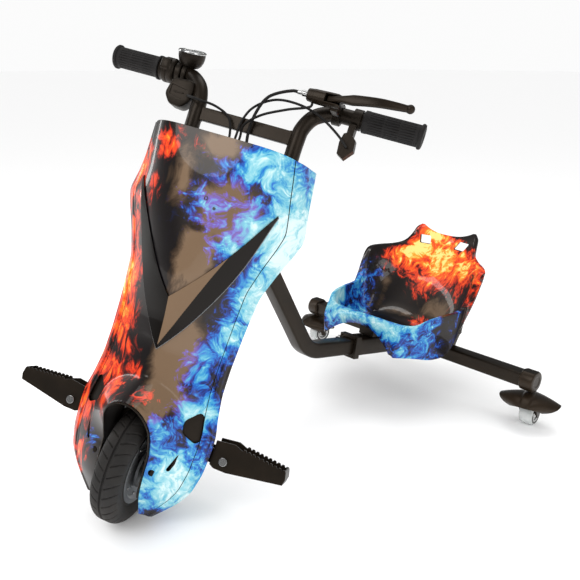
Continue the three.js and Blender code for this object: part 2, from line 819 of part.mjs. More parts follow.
function tubeTopZ(y) {
  return rearZ + (y - rearY) * Math.tan(lowerSlope) + sleeveSize / 2 / Math.cos(lowerSlope);
}

// The bracket between the rear tube and the pan: two upright plates and a front web.
function seatBracketGeometry() {
  const front = seatFrontY + bracketBehind;
  const back = seatFrontY + seatDepth * 0.49;
  const half = sleeveSize / 2 - fitGap;
  const sheetThick = 3;
  const outline = [
    [front, tubeTopZ(front) + fitGap], [back, tubeTopZ(back) + fitGap],
    [back, tubeTopZ(back) + overrun], [front + 14, tubeTopZ(front) + overrun],
  ];
  const sides = [-1, 1].map((side) => plateAcrossX(outline, sheetThick, side * (half - sheetThick / 2)));
  const webOutline = [
    [front, tubeTopZ(front) + fitGap], [front + sheetThick, tubeTopZ(front + sheetThick) + fitGap],
    [front + 14 + sheetThick, tubeTopZ(front) + overrun], [front + 14, tubeTopZ(front) + overrun],
  ];
  const web = plateAcrossX(webOutline, 2 * half, 0);
  return cut(join(web, ...sides), seatRoom(2, 8, 0, 0, overrun * 3));
}

// The stay between the cross tube and the back of the seat, with its two bolts.
function seatStayGeometry(side) {
  const foot = rearZ + crossSize / 2 + fitGap;
  const start = rearY - crossSize / 2;
  const along = (share) => seatFrontY + seatDepth * share;
  const outline = [
    [start, foot], [start + 26, foot], [along(0.721), foot + 32], [along(0.741), foot + 58],
    [along(0.689), foot + 66], [along(0.59), foot + 40], [start, foot + 26],
  ];
  const flange = [
    [start, foot], [start + 28, foot], [start + 28, foot + 4], [start + 10, foot + 6],
    [along(0.597), foot + 30], [along(0.695), foot + 66], [along(0.63), foot + 70],
    [along(0.518), foot + 20],
  ];
  const wide = 20;
  const web = plateAcrossX(outline, stayThick, side * stayX);
  const strip = plateAcrossX(flange, wide, side * (stayX - (wide - stayThick) / 2));
  const bolt = (y, z) => plate(hexPoints(boltHead), stayThick * 2)
    .rotateY(Math.PI / 2)
    .translate(side * (stayX + stayThick / 2), y, z);
  const bolts = [bolt(along(0.682), foot + 30), bolt(along(0.702), foot + 50)];
  return cut(join(web, strip, ...bolts), seatRoom(4, 12, 0, -overrun * 3, 0));
}

// Fairing shells (straight, in the raked frame)
// Rows from the lower cheeks to the top edge, as shares of the height, half width and depth,
// and how square the section is: near 1 it is a wedge with a ridge, above 3 a flat front.
const fairingRowShares = [
  [0.0, 0.39, 0.2, 2.0],
  [0.024, 0.48, 0.34, 2.0],
  [0.06, 0.61, 0.5, 2.0],
  [0.1, 0.71, 0.56, 2.0],
  [0.158, 0.765, 0.59, 2.0],
  [0.225, 0.78, 0.6, 2.0],
  [0.265, 0.775, 0.6, 1.9],
  [0.31, 0.735, 0.6, 1.7],
  [0.374, 0.7, 0.61, 1.4],
  [0.444, 0.697, 0.61, 1.25],
  [0.522, 0.71, 0.7, 1.3],
  [0.582, 0.725, 0.82, 1.4],
  [0.649, 0.75, 0.93, 1.55],
  [0.719, 0.845, 0.97, 1.75],
  [0.777, 0.942, 0.98, 2.0],
  [0.82, 1.0, 0.985, 2.2],
  [0.87, 0.965, 0.99, 2.6],
  [0.903, 0.942, 1.0, 3.2],
  [0.943, 0.923, 1.0, 4.2],
  [1.0, 0.89, 1.0, 6.0],
];

function fairingRow(w) {
  return lerpTable(fairingRowShares, (w - fairingLow) / (fairingHigh - fairingLow));
}

function fairingHalfAt(w) {
  return fairingRow(w)[1] * fairingHalf;
}

// The front surface's place along v at a point (x, w).
function fairingV(x, w) {
  const [, wide, depth, power] = fairingRow(w);
  const u = Math.min(1, Math.abs(x) / (wide * fairingHalf));
  return fairingSeamV - depth * fairingDepth * (1 - Math.pow(u, power));
}

function mirroredShares(half) {
  return [...half.slice(1).reverse().map((u) => -u), ...half];
}

function fairingRows() {
  return fairingRowShares.map(([share]) => THREE.MathUtils.lerp(fairingLow, fairingHigh, share));
}

function archOutline(half, low) {
  const top = arcPoints(0, archCentre, half, 0, Math.PI, 16);
  return [[half, low], ...top, [-half, low]];
}

function archTool(half, v0, v1, low = fairingLow - overrun) {
  return plateAcrossY(archOutline(half, low), v1 - v0, (v0 + v1) / 2);
}

function flareAt(w) {
  const k = THREE.MathUtils.smoothstep(w, 0, archCentre + archHalf);
  return flareHigh * k;
}

// The arch's flare: a band that rises from the front surface to the lip.
function flareGeometry() {
  const across = [0, 0.12, 0.35, 0.65, 1, 1.06];
  const sideSteps = [0, 0.2, 0.45, 0.7, 0.88];
  const side = sideSteps.map((k) => [1, THREE.MathUtils.lerp(fairingLow, archCentre, k)]);
  const path = [
    ...side.map(([, w]) => ({ x: archHalf, w, nx: 1, nw: 0 })),
    ...arcPoints(0, 0, 1, 0, Math.PI, 14).map(([nx, nw]) => (
      { x: archHalf * nx, w: archCentre + archHalf * nw, nx, nw }
    )),
    ...side.map(([, w]) => ({ x: -archHalf, w, nx: -1, nw: 0 })).reverse(),
  ];
  const grid = path.map(({ x, w, nx, nw }) =>
    across.map((k) => {
      const px = x + nx * flareWide * k;
      const pw = w + nw * flareWide * k;
      const rise = flareAt(w) * Math.pow(Math.max(0, 1 - k), 1.2);
      const limit = fairingHalfAt(pw) * seamShare * 0.98;
      const cx = THREE.MathUtils.clamp(px, -limit, limit);
      return new THREE.Vector3(cx, fairingV(cx, pw) - rise, pw);
    }),
  );
  return sheet(grid, offsetGrid(grid, shellWall));
}

function ventTool(side) {
  const outline = [[0, 26], [20, 12], [26, -6], [8, -24], [-18, -12], [-22, 8]];
  const placed = outline.map(([x, w]) => [side * (ventX + x * 0.8), ventW + w]);
  return plateAcrossY(placed, overrun, ventV - overrun / 2);
}

function frontShellGrid() {
  const half = [0, 0.12, 0.3, 0.5, 0.68, 0.85, 1].map((u) => u * seamShare);
  return fairingRows().map((w) =>
    mirroredShares(half).map((u) => {
      const x = u * fairingHalfAt(w);
      return new THREE.Vector3(x, fairingV(x, w), w);
    }),
  );
}

function frontShellGeometry() {
  const grid = frontShellGrid();
  const body = sheet(grid, offsetGrid(grid, shellWall));
  const opened = cut(body, archTool(archHalf + flareWide * 0.92, -overrun * 4, 0));
  const mouth = archTool(archHalf, -overrun * 4, 0);
  return cut(join(opened, flareGeometry()), mouth, ventTool(1), ventTool(-1));
}

function rearShellGeometry() {
  const grid = fairingRows().map((w) => {
    const wide = fairingHalfAt(w);
    const side = [seamShare + 0.006, 0.93, 1].map((u) => [u * wide, fairingV(u * wide, w)]);
    const back = [
      [wide * 0.965, fairingSeamV + 16],
      [wide * 0.87, fairingBackV - 3],
      [wide * 0.5, fairingBackV],
    ];
    const half = [...side, ...back].reverse();
    const line = [[0, fairingBackV], ...half];
    const mirrored = line.slice(1).reverse().map(([x, v]) => [-x, v]);
    return [...mirrored, ...line].map(([x, v]) => new THREE.Vector3(x, v, w));
  });
  const body = sheet(grid, offsetGrid(grid, -shellWall));
  const slotHalf = legInner + legThick + 10;
  const slot = span(
    -slotHalf, slotHalf, -overrun * 4, overrun * 2, fairingLow - overrun, crownTop + 6,
  );
  const notch = span(
    -uprightX - 22, uprightX + 22, fairingBackV - 12, overrun, yokeW - 12, fairingHigh + overrun,
  );
  const pegSlot = (side) => {
    const low = pegPivotW - 26;
    const room = (inner, high) => block(
      fairingHalf, overrun, high, side * (inner + fairingHalf / 2), pegFrontV + 24, low + high / 2,
    );
    return join(room(slotHalf - bite, 58), room(foldX, 130));
  };
  return cut(body, slot, notch, pegSlot(1), pegSlot(-1));
}

// The V-shaped insert: two tapering arms over the front surface, from the tips to the middle.
const insertTipX = 118;
const insertTipW = 428;
const insertLift = 0.6;
const insertOuterW = 172;
const insertHigh = 83; // the insert's height in the middle
const insertInnerW = insertOuterW + insertHigh;

function insertEdge(k, lowW, bowX, bowW) {
  const curve = new THREE.QuadraticBezierCurve(
    new THREE.Vector2(insertTipX, insertTipW),
    new THREE.Vector2(bowX, bowW),
    new THREE.Vector2(0, lowW),
  );
  return curve.getPoint(k);
}

// The front shell with a clearance in front of it, for seating the insert.
function frontShellRoom() {
  const grid = frontShellGrid();
  return sheet(offsetGrid(grid, -fitGap), offsetGrid(grid, overrun / 10));
}

function insertGeometry() {
  const steps = 12;
  const across = 4;
  const arm = Array.from({ length: steps }, (_, i) => {
    const k = 0.03 + (0.97 * i) / (steps - 1);
    const outer = insertEdge(k, insertOuterW, insertTipX * 0.66, insertOuterW + 95);
    const inner = insertEdge(k, insertInnerW, insertTipX * 0.52, insertInnerW + 62);
    return Array.from({ length: across + 1 }, (_, j) => outer.clone().lerp(inner, j / across));
  });
  const rows = [...arm, ...arm.slice(0, -1).reverse().map((row) => (
    row.map((p) => new THREE.Vector2(-p.x, p.y))
  ))];
  const place = (lift) => rows.map((row) =>
    row.map((p) => new THREE.Vector3(p.x, fairingV(p.x, p.y) - lift, p.y)),
  );
  return cut(sheet(place(insertLift + insertThick), place(insertLift)), frontShellRoom());
}

// A dark cover that closes a vent from behind, carried by the wheel well.
function ventCover(side) {
  const inner = archHalf - wellWall;
  const rows = [-34, -12, 12, 34].map((w) => ventW + w);
  const place = (depth) => rows.map((w) =>
    [0, 0.25, 0.5, 0.75, 1].map((k) => {
      const x = side * THREE.MathUtils.lerp(inner, ventX + 15, k);
      return new THREE.Vector3(x, fairingV(x, w) + depth, w);
    }),
  );
  const depth = shellWall + runGap * 4;
  return sheet(place(depth), place(depth + wellWall));
}

// The wheel well: the dark liner behind the arch's lip.
function wellGeometry() {
  const lip = archHalf - fitGap * 2;
  const low = fairingLow + 28;
  const sideW = [0, 0.04, 0.12, 0.4, 0.7].map((k) => THREE.MathUtils.lerp(low, archCentre, k));
  const path = [
    ...sideW.map((w) => [1, 0, w]),
    ...arcPoints(0, 0, 1, 0, Math.PI, 16).map(([c, s]) => [c, s, archCentre]),
    ...sideW.map((w) => [-1, 0, w]).reverse(),
  ];
  const grid = (radius) => path.map(([c, s, w]) => {
    const x = radius * c;
    const pw = w + radius * s;
    const front = fairingV(x, pw) - flareAt(w + lip * s) - 2;
    const tip = THREE.MathUtils.clamp((pw - low) / 10, 0, 1);
    const shrink = (1 - Math.sqrt(1 - (1 - tip) * (1 - tip))) * (wellBackV - front) * 0.42;
    return [0, 1 / 3, 2 / 3, 1].map((k) =>
      new THREE.Vector3(x, THREE.MathUtils.lerp(front + shrink, wellBackV - shrink, k), pw),
    );
  });
  return join(sheet(grid(lip), grid(lip - wellWall)), ventCover(1), ventCover(-1));
}

// Battery and controller
function batteryGeometry() {
  const back = fairingBackV - shellWall - fitGap * 2;
  return span(-batteryHalf, batteryHalf, controllerFrontV + 4, back, batteryLow, batteryHigh);
}

function controllerGeometry() {
  const front = controllerFrontV;
  const back = fairingBackV - shellWall - fitGap * 2;
  const low = controllerHigh - controllerLong;
  const body = span(-controllerHalf, controllerHalf, front, back, low, controllerHigh);
  const ribs = [-2, -1, 0, 1, 2].map((i) => (
    block(6, 4 + bite, controllerLong - 6, i * controllerHalf * 0.4, front - 2, low + controllerLong / 2)
  ));
  return join(body, ...ribs);
}

// Foot pegs (outlines in x and w, for the left side; the right is mirrored)
function mirrorX(outline, side) {
  return outline.map(([x, w]) => [side * x, w]);
}

function pegOutline() {
  const toothStart = pegPivotX + 24;
  const pitch = (pegTipX - toothStart) / pegTeeth;
  const topAt = (x) => THREE.MathUtils.mapLinear(x, toothStart, pegTipX, 60, 53);
  const teeth = Array.from({ length: pegTeeth }, (_, i) => {
    const x = toothStart + i * pitch;
    return [
      [x, topAt(x) - toothHigh], [x + pitch * 0.25, topAt(x)],
      [x + pitch * 0.7, topAt(x)], [x + pitch * 0.95, topAt(x) - toothHigh],
    ];
  }).flat();
  return [
    [pegRootX, pegPivotW - 12], [pegRootX + 8, pegPivotW - 16], [pegPivotX + 8, pegPivotW - 16],
    [pegTipX, 30], [pegTipX + 2, 40], ...teeth.reverse(), [pegPivotX + 10, 62], [pegRootX, 58],
  ];
}

function pegGeometry(side) {
  const outer = plateAcrossY(mirrorX(pegOutline(), side), pegWide, pegFrontV + pegWide / 2);
  const low = pegPivotW - 16 + pegSheet;
  const high = pegPivotW + 2 * overrun;
  const room = [
    [pegRootX - overrun, low], [pegPivotX + 8, low],
    [pegTipX - pegSheet, 30 + pegSheet], [pegTipX - pegSheet, high], [pegRootX - overrun, high],
  ];
  const hollow = plateAcrossY(mirrorX(room, side), pegWide - 2 * pegSheet, pegFrontV + pegWide / 2);
  const bore = rod(pinRadius + fitGap, overrun * 2, "y", 16).translate(side * pegPivotX, 0, pegPivotW);
  return cut(outer, hollow, bore);
}

function pegPinGeometry(side) {
  const middle = pegFrontV + pegWide / 2;
  const half = pegWide / 2 + fitGap;
  const shank = rod(pinRadius, 2 * half + bite, "y", 16);
  const head = (way) => rod(pinHead, pinThick, "y", 16).translate(0, way * (half + pinThick / 2), 0);
  return join(shank, head(1), head(-1)).translate(side * pegPivotX, middle, pegPivotW);
}

function pegBracketGeometry(side) {
  const inner = legInner + legThick + fitGap;
  const wide = pegWide - 2 * pegSheet - 2 * runGap;
  const middle = pegFrontV + pegWide / 2;
  const low = pegPivotW - 9;
  const arm = [
    [inner + bite, low - 10], [pegRootX - 14, low - 8], [pegRootX - 3, low - 1],
    [pegPivotX + 3, low - 1], [pegPivotX + 9, low + 6],
    [pegPivotX + 9, low + 15], [pegPivotX, low + 21], [inner + bite, low + 28],
  ];
  const body = plateAcrossY(mirrorX(arm, side), wide, middle);
  const hollowOutline = [
    [inner + 10, low - 4], [pegRootX, low], [pegPivotX + overrun, low - overrun],
    [pegPivotX + overrun, low + overrun], [inner + 10, low + overrun],
  ];
  const hollow = plateAcrossY(mirrorX(hollowOutline, side), wide - 2 * pegSheet, middle);
  const x0 = side * inner;
  const x1 = side * (inner + 5);
  const base = span(
    Math.min(x0, x1), Math.max(x0, x1), hubV - 8, middle + wide / 2, low - 18, low + 34,
  );
  const bore = rod(pinRadius + fitGap, overrun * 2, "y", 16).translate(side * pegPivotX, 0, pegPivotW);
  return cut(join(cut(body, hollow), base), bore);
}

// Handlebar
function barPath(side) {
  const bend = new THREE.CatmullRomCurve3(
    vectors([
      [side * uprightX, uprightV + 2, yokeW - 4],
      [side * uprightX, uprightV, crossBarW],
      [side * (uprightX + 1), uprightV + 2, crossBarW + 18],
      [side * (uprightX + 11), uprightV + 9, crossBarW + 42],
      [side * (uprightX + 30), uprightV + 19, gripW - 5],
      [side * bendEndX, gripV, gripW],
    ]),
    false,
    "centripetal",
  );
  const path = new THREE.CurvePath();
  path.add(bend);
  const ends = vectors([[side * bendEndX, gripV, gripW], [side * (gripOuter - 6), gripV, gripW]]);
  path.add(new THREE.LineCurve3(...ends));
  return path;
}

function barGeometry(side, extra = 0) {
  return sweep(barPath(side), circlePoints(barRadius + extra, 10), 20);
}

function handlebarGeometry() {
  const bridge = block(2 * uprightX, 9, 22, 0, uprightV - 1, crossBarW);
  const yokeHalf = uprightX + barRadius + 1;
  const yokeThick = 9;
  const yoke = span(
    -yokeHalf, yokeHalf, uprightV - 14, steererRadius + 4, yokeW - yokeThick / 2, yokeW + yokeThick / 2,
  );
  const relief = span(
    -uprightX + 18, uprightX - 18, uprightV - 40, uprightV + 14, yokeW - yokeThick, yokeW + yokeThick,
  );
  const hub = rod(steererRadius + 6, 15, "z").translate(0, 0, yokeW + 1);
  const socket = rod(steererRadius + fitGap, overrun, "z", 28).translate(0, 0, yokeW - overrun / 2 + fitGap);
  return cut(join(cut(join(yoke, hub), relief), barGeometry(1), barGeometry(-1), bridge), socket);
}

function gripGeometry(long, radius) {
  const hole = barRadius + fitGap;
  const profile = [[hole, 0], [flangeRadius, 0], [flangeRadius, 4], [radius, 6]];
  const grooves = 3;
  const pitch = (long - 20) / grooves;
  for (let i = 0; i < grooves; i++) {
    const a = 9 + i * pitch;
    profile.push([radius, a], [radius - 1, a + pitch * 0.2], [radius - 1, a + pitch * 0.5]);
    profile.push([radius, a + pitch * 0.7]);
  }
  profile.push([radius, long - 7], [flangeRadius, long - 5], [flangeRadius, long - 2]);
  profile.push([flangeRadius - 2, long], [0, long], [0, long - 3], [hole, long - 3], [hole, 0]);
  return turned(profile, "x", 16);
}

function clampRing(x, long, outer) {
  return ring(outer, barRadius + fitGap, long, "x", 20).translate(x, gripV, gripW);
}

// Takes away the room of a straight grip end of the bar.
function barRoom(side) {
  return barGeometry(side, fitGap);
}

// Left hand: brake lever and switch
function leverBracketGeometry() {
  const outline = [
    [leverX - 40, leverV + 9], [leverX - 40, leverV - 5], [leverX - 28, leverV - 9],
    [leverX + 6, leverV - 11], [leverX + 12, leverV - 4], [leverX + 12, leverV + 8],
    [leverX - 4, leverV + 14], [leverX - 30, leverV + 14],
  ];
  const body = plate(outline, perchHigh).translate(0, 0, leverW);
  const arm = span(
    leverX - 2, leverX + 12, leverV + 4, gripV - barRadius, gripW - 8, leverW + perchHigh / 2,
  );
  const clamp = clampRing(leverX + 5, 14, barRadius + 5);
  const slot = span(leverX - 10, leverX + overrun, leverV - overrun, leverV + 8, leverW - 6.5, leverW + 6.5);
  const pivot = rod(pivotRadius + fitGap, overrun, "z", 16).translate(leverX, leverV, leverW);
  const tunnel = rod(cableRadius + 1.5, overrun, "x", 12).translate(leverX - 40, leverV + 2, leverW);
  return cut(join(body, arm, clamp), slot, pivot, tunnel, barRoom(1));
}

// The lever's blade, from its pivot to the ball at its end, with the pivot pin.
function leverGeometry() {
  const high = 9;
  const outline = [
    [-7, -6], [8, -11], [40, -16], [74, -16], [100, -9], [117, -2], [117, 6],
    [98, 0], [74, -7], [44, -7], [14, -1], [6, 6], [-6, 6],
  ];
  const blade = plate(outline, high);
  const ball = new THREE.SphereGeometry(7, 12, 8).translate(119, 2, 0);
  const pin = rod(pivotRadius, perchHigh + 2, "z", 16);
  return join(join(blade, ball).rotateY(-leverTilt), pin);
}

function adjusterGeometry() {
  const body = turned([[0, 0], [5, 0], [5, 8], [3.4, 9], [3.4, 16], [0, 16]], "x", 16);
  const bore = rod(cableRadius - 1, overrun, "x", 12);
  return cut(body, bore).rotateZ(Math.PI).translate(leverX - 40 - fitGap, leverV + 2, leverW);
}

function switchBoxGeometry() {
  const outline = [
    [-2, 24], [11, 14], [13, -3], [0, -19], [-11, -13], [-13, 6], [-10, 20],
  ];
  const body = plateAcrossY(outline, switchThick, 0).translate(switchX, switchV, switchW);
  const neck = span(
    switchX - 7, switchX + 4, switchV - 4, gripV, switchW + 14, gripW - barRadius - fitGap,
  );
  const clamp = clampRing(switchX, 14, barRadius + 4);
  const well = rod(buttonRadius + fitGap, buttonWell, "y", 16);
  well.translate(switchX, switchV + switchThick / 2, switchW);
  return cut(join(body, neck, clamp), barRoom(1), well);
}

function buttonGeometry(radius) {
  const profile = [[0, -2], [radius, -2], [radius, 1.6], [radius - 1, 2.4], [0, 2.4]];
  return turned(profile, "y", 16);
}

// Right hand: throttle, gauge and control box
function throttleHousingGeometry() {
  const x = -gripInner + 14 + runGap;
  const body = turned(
    [[0, -14], [18, -14], [21, -11], [21, 11], [19, 15], [0, 15]], "x", 24,
  ).translate(x, gripV, gripW);
  const boss = span(x - 11, x + 11, gripV - 26, gripV - 6, gripW - 4, gripW + 20);
  return cut(join(body, boss), barRoom(-1));
}

function gaugeBowlGeometry() {
  const profile = [
    [0, -13], [16, -13], [22, -8], [gaugeRadius, -1], [gaugeRadius, 6],
    [gaugeRadius - 3, 6], [gaugeRadius - 3, 1], [0, 1],
  ];
  const bowl = turned(profile, "z", 24).rotateX(gaugeTilt).translate(-gaugeX, gaugeV, gaugeW);
  const clamp = clampRing(-gaugeClampX, 10, barRadius + 6);
  return cut(join(bowl, clamp), barRoom(-1));
}

function gaugeLensGeometry() {
  const r = gaugeRadius - 3 - fitGap;
  const profile = [[0, 1 + fitGap], [r, 1 + fitGap], [r, 6], [r - 4, 8], [0, 9]];
  return turned(profile, "z", 24).rotateX(gaugeTilt).translate(-gaugeX, gaugeV, gaugeW);
}

function gaugeBezelGeometry() {
  const r = gaugeRadius + 1;
  const low = 6 + fitGap;
  const profile = [
    [r - 3.6, low], [r, low], [r, low + 2], [r - 1.5, low + 3.4], [r - 3.6, low + 3], [r - 3.6, low],
  ];
  return turned(profile, "z", 24).rotateX(gaugeTilt).translate(-gaugeX, gaugeV, gaugeW);
}

function controlBoxGeometry() {
  const outline = [[-17, 20], [20, 22], [24, 8], [22, -14], [10, -26], [-12, -24], [-24, -8]];
  const body = plateAcrossY(outline, controlThick, 0).translate(-controlX, controlV, controlW);
  const lid = plateAcrossY(outline.map(([x, z]) => [x * 0.72, z * 0.72]), 4, 0);
  lid.translate(-controlX, controlV - controlThick / 2 - 1, controlW);
  const neck = span(
    -controlClampX - 4, -controlClampX + 4, gripV - 12, gripV + 6, controlW + 14, gripW - barRadius,
  );
  const clamp = clampRing(-controlClampX, 8, barRadius + 4);
  const well = rod(buttonRadius + fitGap, buttonWell, "y", 16);
  well.translate(-controlX, controlV + controlThick / 2, controlW);
  return cut(join(body, lid, neck, clamp), barRoom(-1), well);
}

// Cables, held all the way
function cable(points, radius, steps) {
  return smoothTube(points, radius, steps, 6);
}

function brakeCableGeometry() {
  const start = leverX - 40 - fitGap - runGap - 16;
  const housing = cable(
    [
      [start, leverV + 2, leverW], [start - 6, leverV + 2, leverW], [25, cableV, gripW - 11],
      [13, cableV, crossBarW + 19], [13, cableV, crossBarW - 19], [24, cableV + 2, yokeW - 4],
      [batteryHalf + 6, cableV + 7, yokeW - 25], [batteryHalf + 13, cableV + 8, controllerHigh - 32],
      [batteryHalf + 12, cableV + 8, batteryLow + 25], [batteryHalf + 8, cableV + 10, batteryLow - 50],
      [wireX + 8, wireV, crownTop + 21], [wireX, wireV, crownTop + 6],
      [wireX, wireV, crownTop + fitGap],
    ],
    cableRadius,
    38,
  );
  const low = hubW + brakePlateRadius * 1.35 + fitGap;
  const wire = span(wireX - 0.9, wireX + 0.9, wireV - 0.9, wireV + 0.9, low, crownTop + 8);
  return join(housing, wire);
}

function enteringCable(start, x) {
  return [
    ...start, [x, cableV, crossBarW - 21], [x, cableV + 2, yokeW - 1],
    [x, cableV + 4, controllerHigh + runGap],
  ];
}

function leverWireGeometry() {
  const low = leverW - perchHigh / 2 - runGap;
  const start = [[leverX - 30, leverV + 6, low], [leverX - 30, leverV + 6, low - 5]];
  const run = [
    [62, cableV - 8, gripW - 25], [24, cableV - 9, crossBarW + 17], [3, cableV - 7, crossBarW - 4],
  ];
  return cable(enteringCable([...start, ...run], 1), wireRadius, 24);
}

function switchCableGeometry() {
  const front = switchV - switchThick / 2 - runGap;
  const start = [
    [switchX, front, switchW], [switchX, front - 5, switchW], [switchX - 14, cableV + 4, switchW + 11],
  ];
  const arc = [
    [110, cableV + 4, gripW - 17], [70, cableV + 6, gripW - 8], [33, cableV + 8, gripW - 11],
    [4, cableV + 8, crossBarW + 31], [-5, cableV + 3, crossBarW + 7],
  ];
  return cable(enteringCable([...start, ...arc], -6), wireRadius, 28);
}

function controlCableGeometry() {
  const x = -controlX + 20;
  const front = controlV - controlThick / 2 - runGap;
  const start = [
    [x, front, controlW - 5], [x, front - 4, controlW - 5], [x + 9, cableV - 8, controlW - 7],
  ];
  const run = [
    [-80, cableV - 10, controlW - 9], [-52, cableV - 6, crossBarW + 14], [-27, cableV - 2, crossBarW + 3],
  ];
  return cable(enteringCable([...start, ...run], -17), wireRadius, 24);
}

function motorCableGeometry() {
  const x = axleHalf + runGap;
  const beside = batteryHalf + 14;
  const points = [
    [-x, hubV, hubW], [-x - 5, hubV, hubW], [-x - 9, hubV - 6, hubW + 9], [-x - 4, hubV - 18, hubW + 32],
    [-x, hubV - 20, 40], [-x - 4, hubV - 10, crownTop - 4], [-beside, cableV + 8, batteryLow - 45],
    [-beside, cableV + 10, batteryLow + 85], [-beside + 2, cableV + 10, controllerHigh - 38],
    [-controllerHalf - 8, cableV + 10, controllerHigh - 20],
    [-controllerHalf - 1, cableV + 10, controllerHigh - 20],
  ];
  return cable(points, cableRadius, 28);
}

// Assembly
const root = new THREE.Group();
const frameGroup = new THREE.Group();
const steering = new THREE.Group();
steering.name = "steering";
steering.applyMatrix4(steerMatrix(axisFootZ, turnAtRest));
root.add(frameGroup, steering);

function add(parent, name, geometry, finish, x = 0, y = 0, z = 0) {
  const mesh = new THREE.Mesh(geometry, finish);
  mesh.name = name;
  mesh.position.set(x, y, z);
  parent.add(mesh);
  return mesh;
}

function addGroup(parent, name, x, y, z) {
  const group = new THREE.Group();
  group.name = name;
  group.position.set(x, y, z);
  parent.add(group);
  return group;
}

const raked = new THREE.Group();
raked.applyMatrix4(steerMatrix(axisFootZ, 0));
frameGroup.add(raked);
add(frameGroup, "main_frame", mainFrameGeometry(), blackPaint);
add(raked, "bearing_cup_lower", cupGeometry(headLow - cupHigh / 2 - fitGap), brightSteel);
add(raked, "bearing_cup_upper", cupGeometry(headHigh + cupHigh / 2 + fitGap), brightSteel);

const rear = addGroup(root, "rear", 0, 0, 0);
add(rear, "rear_frame", rearFrameGeometry(), blackPaint);
add(rear, "clamp_collar", collarGeometry(), blackPaint);
add(rear, "clamp_bolt", collarBoltGeometry(), brightSteel);
add(rear, "seat_shell", seatGeometry(), fireShell);
add(rear, "seat_bracket", seatBracketGeometry(), blackPaint);

const wheel = addGroup(steering, "front_wheel", 0, hubV, hubW);
add(wheel, "front_tyre", tyre, blackRubber);
add(wheel, "hub_motor", hubMotorGeometry(), motorSilver);
add(steering, "axle", axleGeometry(), brightSteel, 0, hubV, hubW);
add(steering, "brake_plate", brakePlateGeometry(), motorSilver, 0, hubV, hubW);
add(steering, "fork", forkGeometry(), blackPaint);
add(steering, "front_shell", frontShellGeometry(), fireShell);
add(steering, "rear_shell", rearShellGeometry(), iceShell);
add(steering, "v_insert", insertGeometry(), glossBlack);
add(steering, "wheel_well", wellGeometry(), blackPlastic);
add(steering, "battery", batteryGeometry(), batteryBlue);
add(steering, "controller", controllerGeometry(), motorSilver);
add(steering, "handlebar", handlebarGeometry(), blackPaint);

add(steering, "grip_left", gripGeometry(gripLong, gripRadius), blackRubber, gripInner, gripV, gripW);
add(steering, "lever_bracket", leverBracketGeometry(), blackPaint);
add(steering, "brake_lever", leverGeometry(), blackPaint, leverX, leverV, leverW);
add(steering, "lever_adjuster", adjusterGeometry(), brightSteel);
add(steering, "switch_box", switchBoxGeometry(), blackPlastic);
const modeV = switchV + switchThick / 2 - fitGap;
add(steering, "mode_button", buttonGeometry(buttonRadius), redButton, switchX, modeV, switchW);

const throttle = gripGeometry(gripLong, gripRadius).rotateZ(Math.PI);
add(steering, "throttle_grip", throttle, blackRubber, -gripInner, gripV, gripW);
add(steering, "throttle_housing", throttleHousingGeometry(), blackPlastic);
add(steering, "gauge_bowl", gaugeBowlGeometry(), blackPlastic);
add(steering, "gauge_lens", gaugeLensGeometry(), lensClear);
add(steering, "gauge_bezel", gaugeBezelGeometry(), brightSteel);
add(steering, "control_box", controlBoxGeometry(), blackPlastic);
const powerV = controlV + controlThick / 2 - fitGap;
add(steering, "power_button", buttonGeometry(buttonRadius), redButton, -controlX, powerV, controlW);

add(steering, "brake_cable", brakeCableGeometry(), blackRubber);
add(steering, "lever_wire", leverWireGeometry(), blackRubber);
add(steering, "switch_cable", switchCableGeometry(), blackRubber);
add(steering, "control_cable", controlCableGeometry(), blackRubber);
add(steering, "motor_cable", motorCableGeometry(), blackRubber);

for (const side of [1, -1]) {
  const hand = side > 0 ? "left" : "right";
  add(steering, "peg_bracket_" + hand, pegBracketGeometry(side), blackPaint);
  add(steering, "foot_peg_" + hand, pegGeometry(side), blackPaint);
  add(steering, "peg_pin_" + hand, pegPinGeometry(side), brightSteel);
  add(rear, "seat_stay_" + hand, seatStayGeometry(side), blackPaint);
  add(rear, "end_cap_" + hand, endCapGeometry(side), blackPlastic);
  const caster = addGroup(rear, "caster_" + hand, side * casterX, rearY, 0);
  caster.rotation.z = side * casterYaw;
  add(caster, "caster_fork_" + hand, casterForkGeometry(), blackPaint);
  add(caster, "caster_fender_" + hand, fenderGeometry(), blackPlastic);
  const roller = addGroup(caster, "caster_wheel_" + hand, 0, casterTrail, casterWheelRadius);
  add(roller, "caster_tyre_" + hand, casterTyreGeometry(), clearWheel);
  add(roller, "caster_core_" + hand, casterCoreGeometry(), brightSteel);
}

root.updateMatrixWorld(true);
const box = new THREE.Box3().setFromObject(root, true);
root.position.set(-(box.min.x + box.max.x) / 2, -(box.min.y + box.max.y) / 2, -box.min.z);
root.updateMatrixWorld(true);

export default root;
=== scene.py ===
# %% [markdown]
# # Dressing a drift trike
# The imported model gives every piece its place. This lesson keeps that frame, gives each surface
# its finish, and swaps the simpler solids for finely meshed shells, tyres, grips and cables.

# %% Load the frame
import json
import math

import bpy
import bmesh
import numpy as np
from mathutils import Matrix, Vector
from mathutils.kdtree import KDTree


